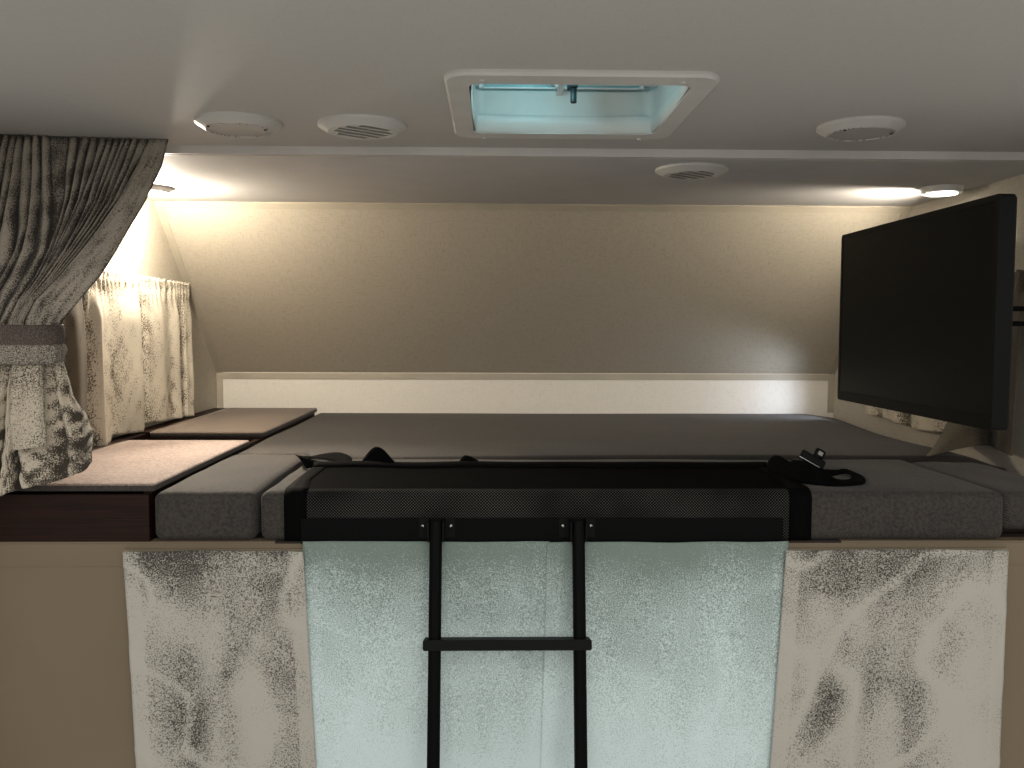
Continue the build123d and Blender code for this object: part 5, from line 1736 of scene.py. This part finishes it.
@dataclass
class WindowCurtains:
    """The two short curtains in front of the side windows, on their rods."""

    columns: int = 250
    rows: int = 70
    thickness: float = 1.3 * MM
    off: float = 25 * MM
    drop: float = 0.45
    # How far back, and how far the cloth stands towards the berth
    left_folds: Pairs = (
        (0.405, 6 * MM), (0.455, 18 * MM), (0.505, 12 * MM), (0.538, -15 * MM), (0.562, -6 * MM),
        (0.590, 20 * MM), (0.625, 8 * MM), (0.690, 0 * MM), (0.770, 7 * MM), (0.850, 16 * MM),
        (0.872, 14 * MM), (0.892, -13 * MM), (0.950, 2 * MM), (1.040, 12 * MM), (1.120, 3 * MM),
        (1.180, 15 * MM), (1.225, -13 * MM), (1.270, 8 * MM), (1.305, 15 * MM), (1.325, -6 * MM),
    )
    right_folds: Pairs = (
        (0.405, 18 * MM), (0.480, 6 * MM), (0.560, -12 * MM), (0.640, 14 * MM), (0.730, 2 * MM),
        (0.790, -13 * MM), (0.860, 12 * MM), (0.960, 5 * MM), (1.020, -10 * MM), (1.080, 14 * MM),
        (1.170, 4 * MM), (1.230, -12 * MM), (1.290, 13 * MM), (1.325, 0.0),
    )
    # How far back, and how high the hem hangs there
    left_hem: Pairs = (
        (0.405, 1.376), (0.600, 1.378), (0.655, 1.384), (0.668, 1.400), (0.862, 1.389), (0.880, 1.408),
        (1.070, 1.402), (1.325, 1.392),
    )
    right_hem: Pairs = (
        (0.405, 1.384), (0.580, 1.391), (0.780, 1.398), (0.980, 1.388), (1.110, 1.401), (1.325, 1.402)
    )
    tail: float = 205 * MM
    tail_y: float = 0.66
    tail_z: float = 1.379
    painted_shading_edge: tuple[float, float] = (0.545, 0.79)

    def make(self) -> None:
        """Makes both curtains."""
        dress({"window_curtain_rods": Finishes.ROD})
        pieces = [self.curtain(side) for side in Side]
        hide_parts("window_curtains")

    def curtain(self, side: Side) -> Piece:
        """Makes one curtain, gathered on its rod with a frill above."""
        low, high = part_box("window_curtains")
        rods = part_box("window_curtain_rods")
        rod_z = (rods[0].z + rods[1].z) / 2
        u = np.linspace(0, 1, self.columns)
        y0 = low.y + (high.y - low.y) * u
        left = side is Side.LEFT
        folds = fold_depths(y0, self.left_folds if left else self.right_folds)
        foot = np.interp(y0, *np.array(self.left_hem if left else self.right_hem).T)
        seed = 20 + side.value
        gathers = np.sin(2 * np.pi * (27 * u + 0.5 * np.sin(2 * np.pi * 3.3 * u + seed)))
        rows, shade_and_crush = [], []
        for i in range(self.rows):
            s = i / (self.rows - 1)
            z = high.z + (foot - high.z) * s
            opened = smoothstep(s, 0.04, 0.3)
            at_rod = np.exp(-(((z - rod_z) / 0.010) ** 2))
            frill = (1 - smoothstep(s, 0.05, 0.16)) * (1 - 0.8 * at_rod)
            out = folds * opened * (0.75 + 0.25 * s) + 3.6 * MM * gathers * frill
            swell = ripple(u * 3, s * 1.2, seed + 3, 7, 2.0)
            out = out + 1.4 * MM * gathers * (1 - opened) + 2.6 * MM * swell * opened
            out = self.off - 4 * MM * (1 - opened) + out
            pulled = 0 * u
            if side is Side.RIGHT:
                # One pleat is pulled out over the bed and comes to a point
                near = np.exp(-(((y0 - self.tail_y) / 0.05) ** 2))
                swung = smoothstep(s, 0.5, 1.0) ** 1.4 * near
                out = out + self.tail * swung
                z = z + (self.tail_z - z) * swung
                pulled = 0.22 * swung
            out = np.clip(out, 5 * MM, 0.24)
            out = np.where(at_rod > 0.3, np.maximum(out, 21.5 * MM), out)
            y = y0 - 10 * MM * smoothstep(s, 0.2, 1.0) * (u - 0.5) - pulled
            top = 2.5 * MM * gathers * (1 - smoothstep(s, 0, 0.06))
            rows.append(np.stack([side.value * (WALL - out), y, z + top], axis=1))
            crumple = ripple(u * 6, s * 2.2, seed + 9, 10, 3.0)
            # Painted highlight and shade: the folds paler where they stand out and darker where they sink
            # back, over crushed patches, and on the frill's gathers
            shade_and_crush.append((0.55 * folds / (13 * MM) + 0.45 * crumple) * opened + 0.4 * gathers * frill)
        grid = np.stack(rows)
        name = f"window_curtain_{side.name.lower()}"
        piece = hang_cloth(name, grid, Finishes.WINDOW_CLOTH, "window_cloth", self.thickness, np.stack(shade_and_crush))
        # Painted shade: the near end takes a darker copy of the cloth
        turns = self.painted_shading_edge[0 if left else 1]
        recolour(piece, Finishes.WINDOW_SHADE, lambda face: face.center.y < turns)
        return piece


@dataclass(frozen=True)
class FlatCurtain:
    """One flat curtain: the x of its edges at the top and the bottom, where it hangs, and its folds."""

    name: str
    left: tuple[float, float]
    right: tuple[float, float]
    y: float
    swing: float
    folds: int
    seed: int


@dataclass
class CabCurtains:
    """The curtains that close the way through to the cab: a pair in the middle and one at each side."""

    rows: int = 130
    thickness: float = 1.3 * MM
    hem_width: float = 30 * MM
    head_shade: float = 0.22
    column: float = 4.5 * MM
    centre: tuple[FlatCurtain, ...] = (
        FlatCurtain("centre_left", (-0.512, -0.512), (-0.022, -0.052), -13.6 * MM, 2.2 * MM, 5, 31),
        FlatCurtain("centre_right", (-0.028, -0.058), (0.456, 0.470), -16.2 * MM, 1.8 * MM, 5, 32),
    )
    sides: tuple[FlatCurtain, ...] = (
        FlatCurtain("side_left", (-0.858, -0.818), (-0.508, -0.452), -27 * MM, 6.5 * MM, 3, 33),
        FlatCurtain("side_right", (0.448, 0.392), (0.897, 0.900), -27 * MM, 6.5 * MM, 4, 34),
    )

    def make(self) -> None:
        """Makes the four curtains."""
        for node, group, finish in (
            ("cab_curtains_centre", self.centre, Finishes.CENTRE_CLOTH),
            ("cab_curtains_side", self.sides, Finishes.SIDE_CLOTH),
        ):
            low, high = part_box(node)
            made = [self.curtain(one, high.z, low.z, finish) for one in group]
            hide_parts(node)

    def curtain(self, one: FlatCurtain, head: float, foot: float, finish: CrushedVelvet) -> Piece:
        """Makes one flat curtain with soft folds and a hem down each side.

        Args:
            one: The curtain's edges and folds.
            head: The height of its top.
            foot: The height of its bottom.
            finish: What it is made of.

        Returns:
            The curtain.
        """
        left, right, swing, seed = one.left, one.right, one.swing, one.seed
        # Painted shade: the centre pair's heading is drawn dark, tucked under the net's rail
        shade = self.head_shade / finish.fold_shading if finish is Finishes.CENTRE_CLOTH else 0.0
        u = np.linspace(0, 1, round((right[0] - left[0]) / self.column))
        rows, shade_and_crush = [], []
        for i in range(self.rows):
            s = i / (self.rows - 1)
            start = left[0] + (left[1] - left[0]) * s
            width = right[0] + (right[1] - right[0]) * s - start
            phase = one.folds * (u + 0.07 * np.sin(2 * np.pi * (u * 1.3 + 0.3 * s) + seed))
            depth = swing * (0.3 + 0.7 * smoothstep(s, 0, 0.35))
            soft = np.sin(2 * np.pi * phase)
            off = depth * (0.62 * soft + 0.38 * np.sin(2 * np.pi * (0.53 * phase + 0.4 * s) + seed))
            off = off + 0.5 * swing * ripple(u * 0.9, s * 1.6, seed, 8, 2.2)
            # Sharp creases run where this swell crosses its middle
            crease = np.exp(-((ripple(u * 1.3, s * 3.2, seed + 50, 7, 1.7) / 0.1) ** 2))
            off = off + 0.35 * swing * crease
            hem = self.hem_width / width
            edge = smoothstep(u, hem, hem + 0.006) * smoothstep(1 - u, hem, hem + 0.006)
            x = start + width * u + 1.5 * MM * np.sin(2 * np.pi * phase) * smoothstep(s, 0, 0.2)
            z = head + (foot - head) * s + 2.5 * MM * ripple(u, 0.0, seed + 5, 5, 3.0) * (1 - s)
            off = np.minimum(off + 0.9 * MM * (1 - edge), 0.92 * 2 * swing)
            rows.append(np.stack([x, one.y - off, z], axis=1))
            # Painted highlight and shade: paler where the cloth stands out and along the creases, darker
            # where it sinks back; the hems are paler too
            fold_shading = 0.3 * off / swing + 0.4 * crease - 0.2 + 0.3 * (1 - edge)
            shade_and_crush.append(fold_shading - shade * math.exp(-((s / 0.05) ** 2)))
        grid = np.stack(rows)
        piece = hang_cloth(
            f"cab_curtain_{one.name}", grid, finish, "cab_cloth", self.thickness, np.stack(shade_and_crush)
        )
        return piece


def main() -> None:
    """Builds the scene in order."""
    logging.basicConfig(level=logging.INFO, format="%(message)s")
    bpy.context.scene.view_settings.view_transform = "Standard"
    Camera().make()
    Studio().make()
    for part in (
        Shell(), CeilingFittings(), BedCushions(), SideLocker(), SafetyNet(), Ladder(), Television(),
        BerthCurtain(), WindowCurtains(), CabCurtains(),
    ):
        part.make()


if __name__ == "__main__":
    main()
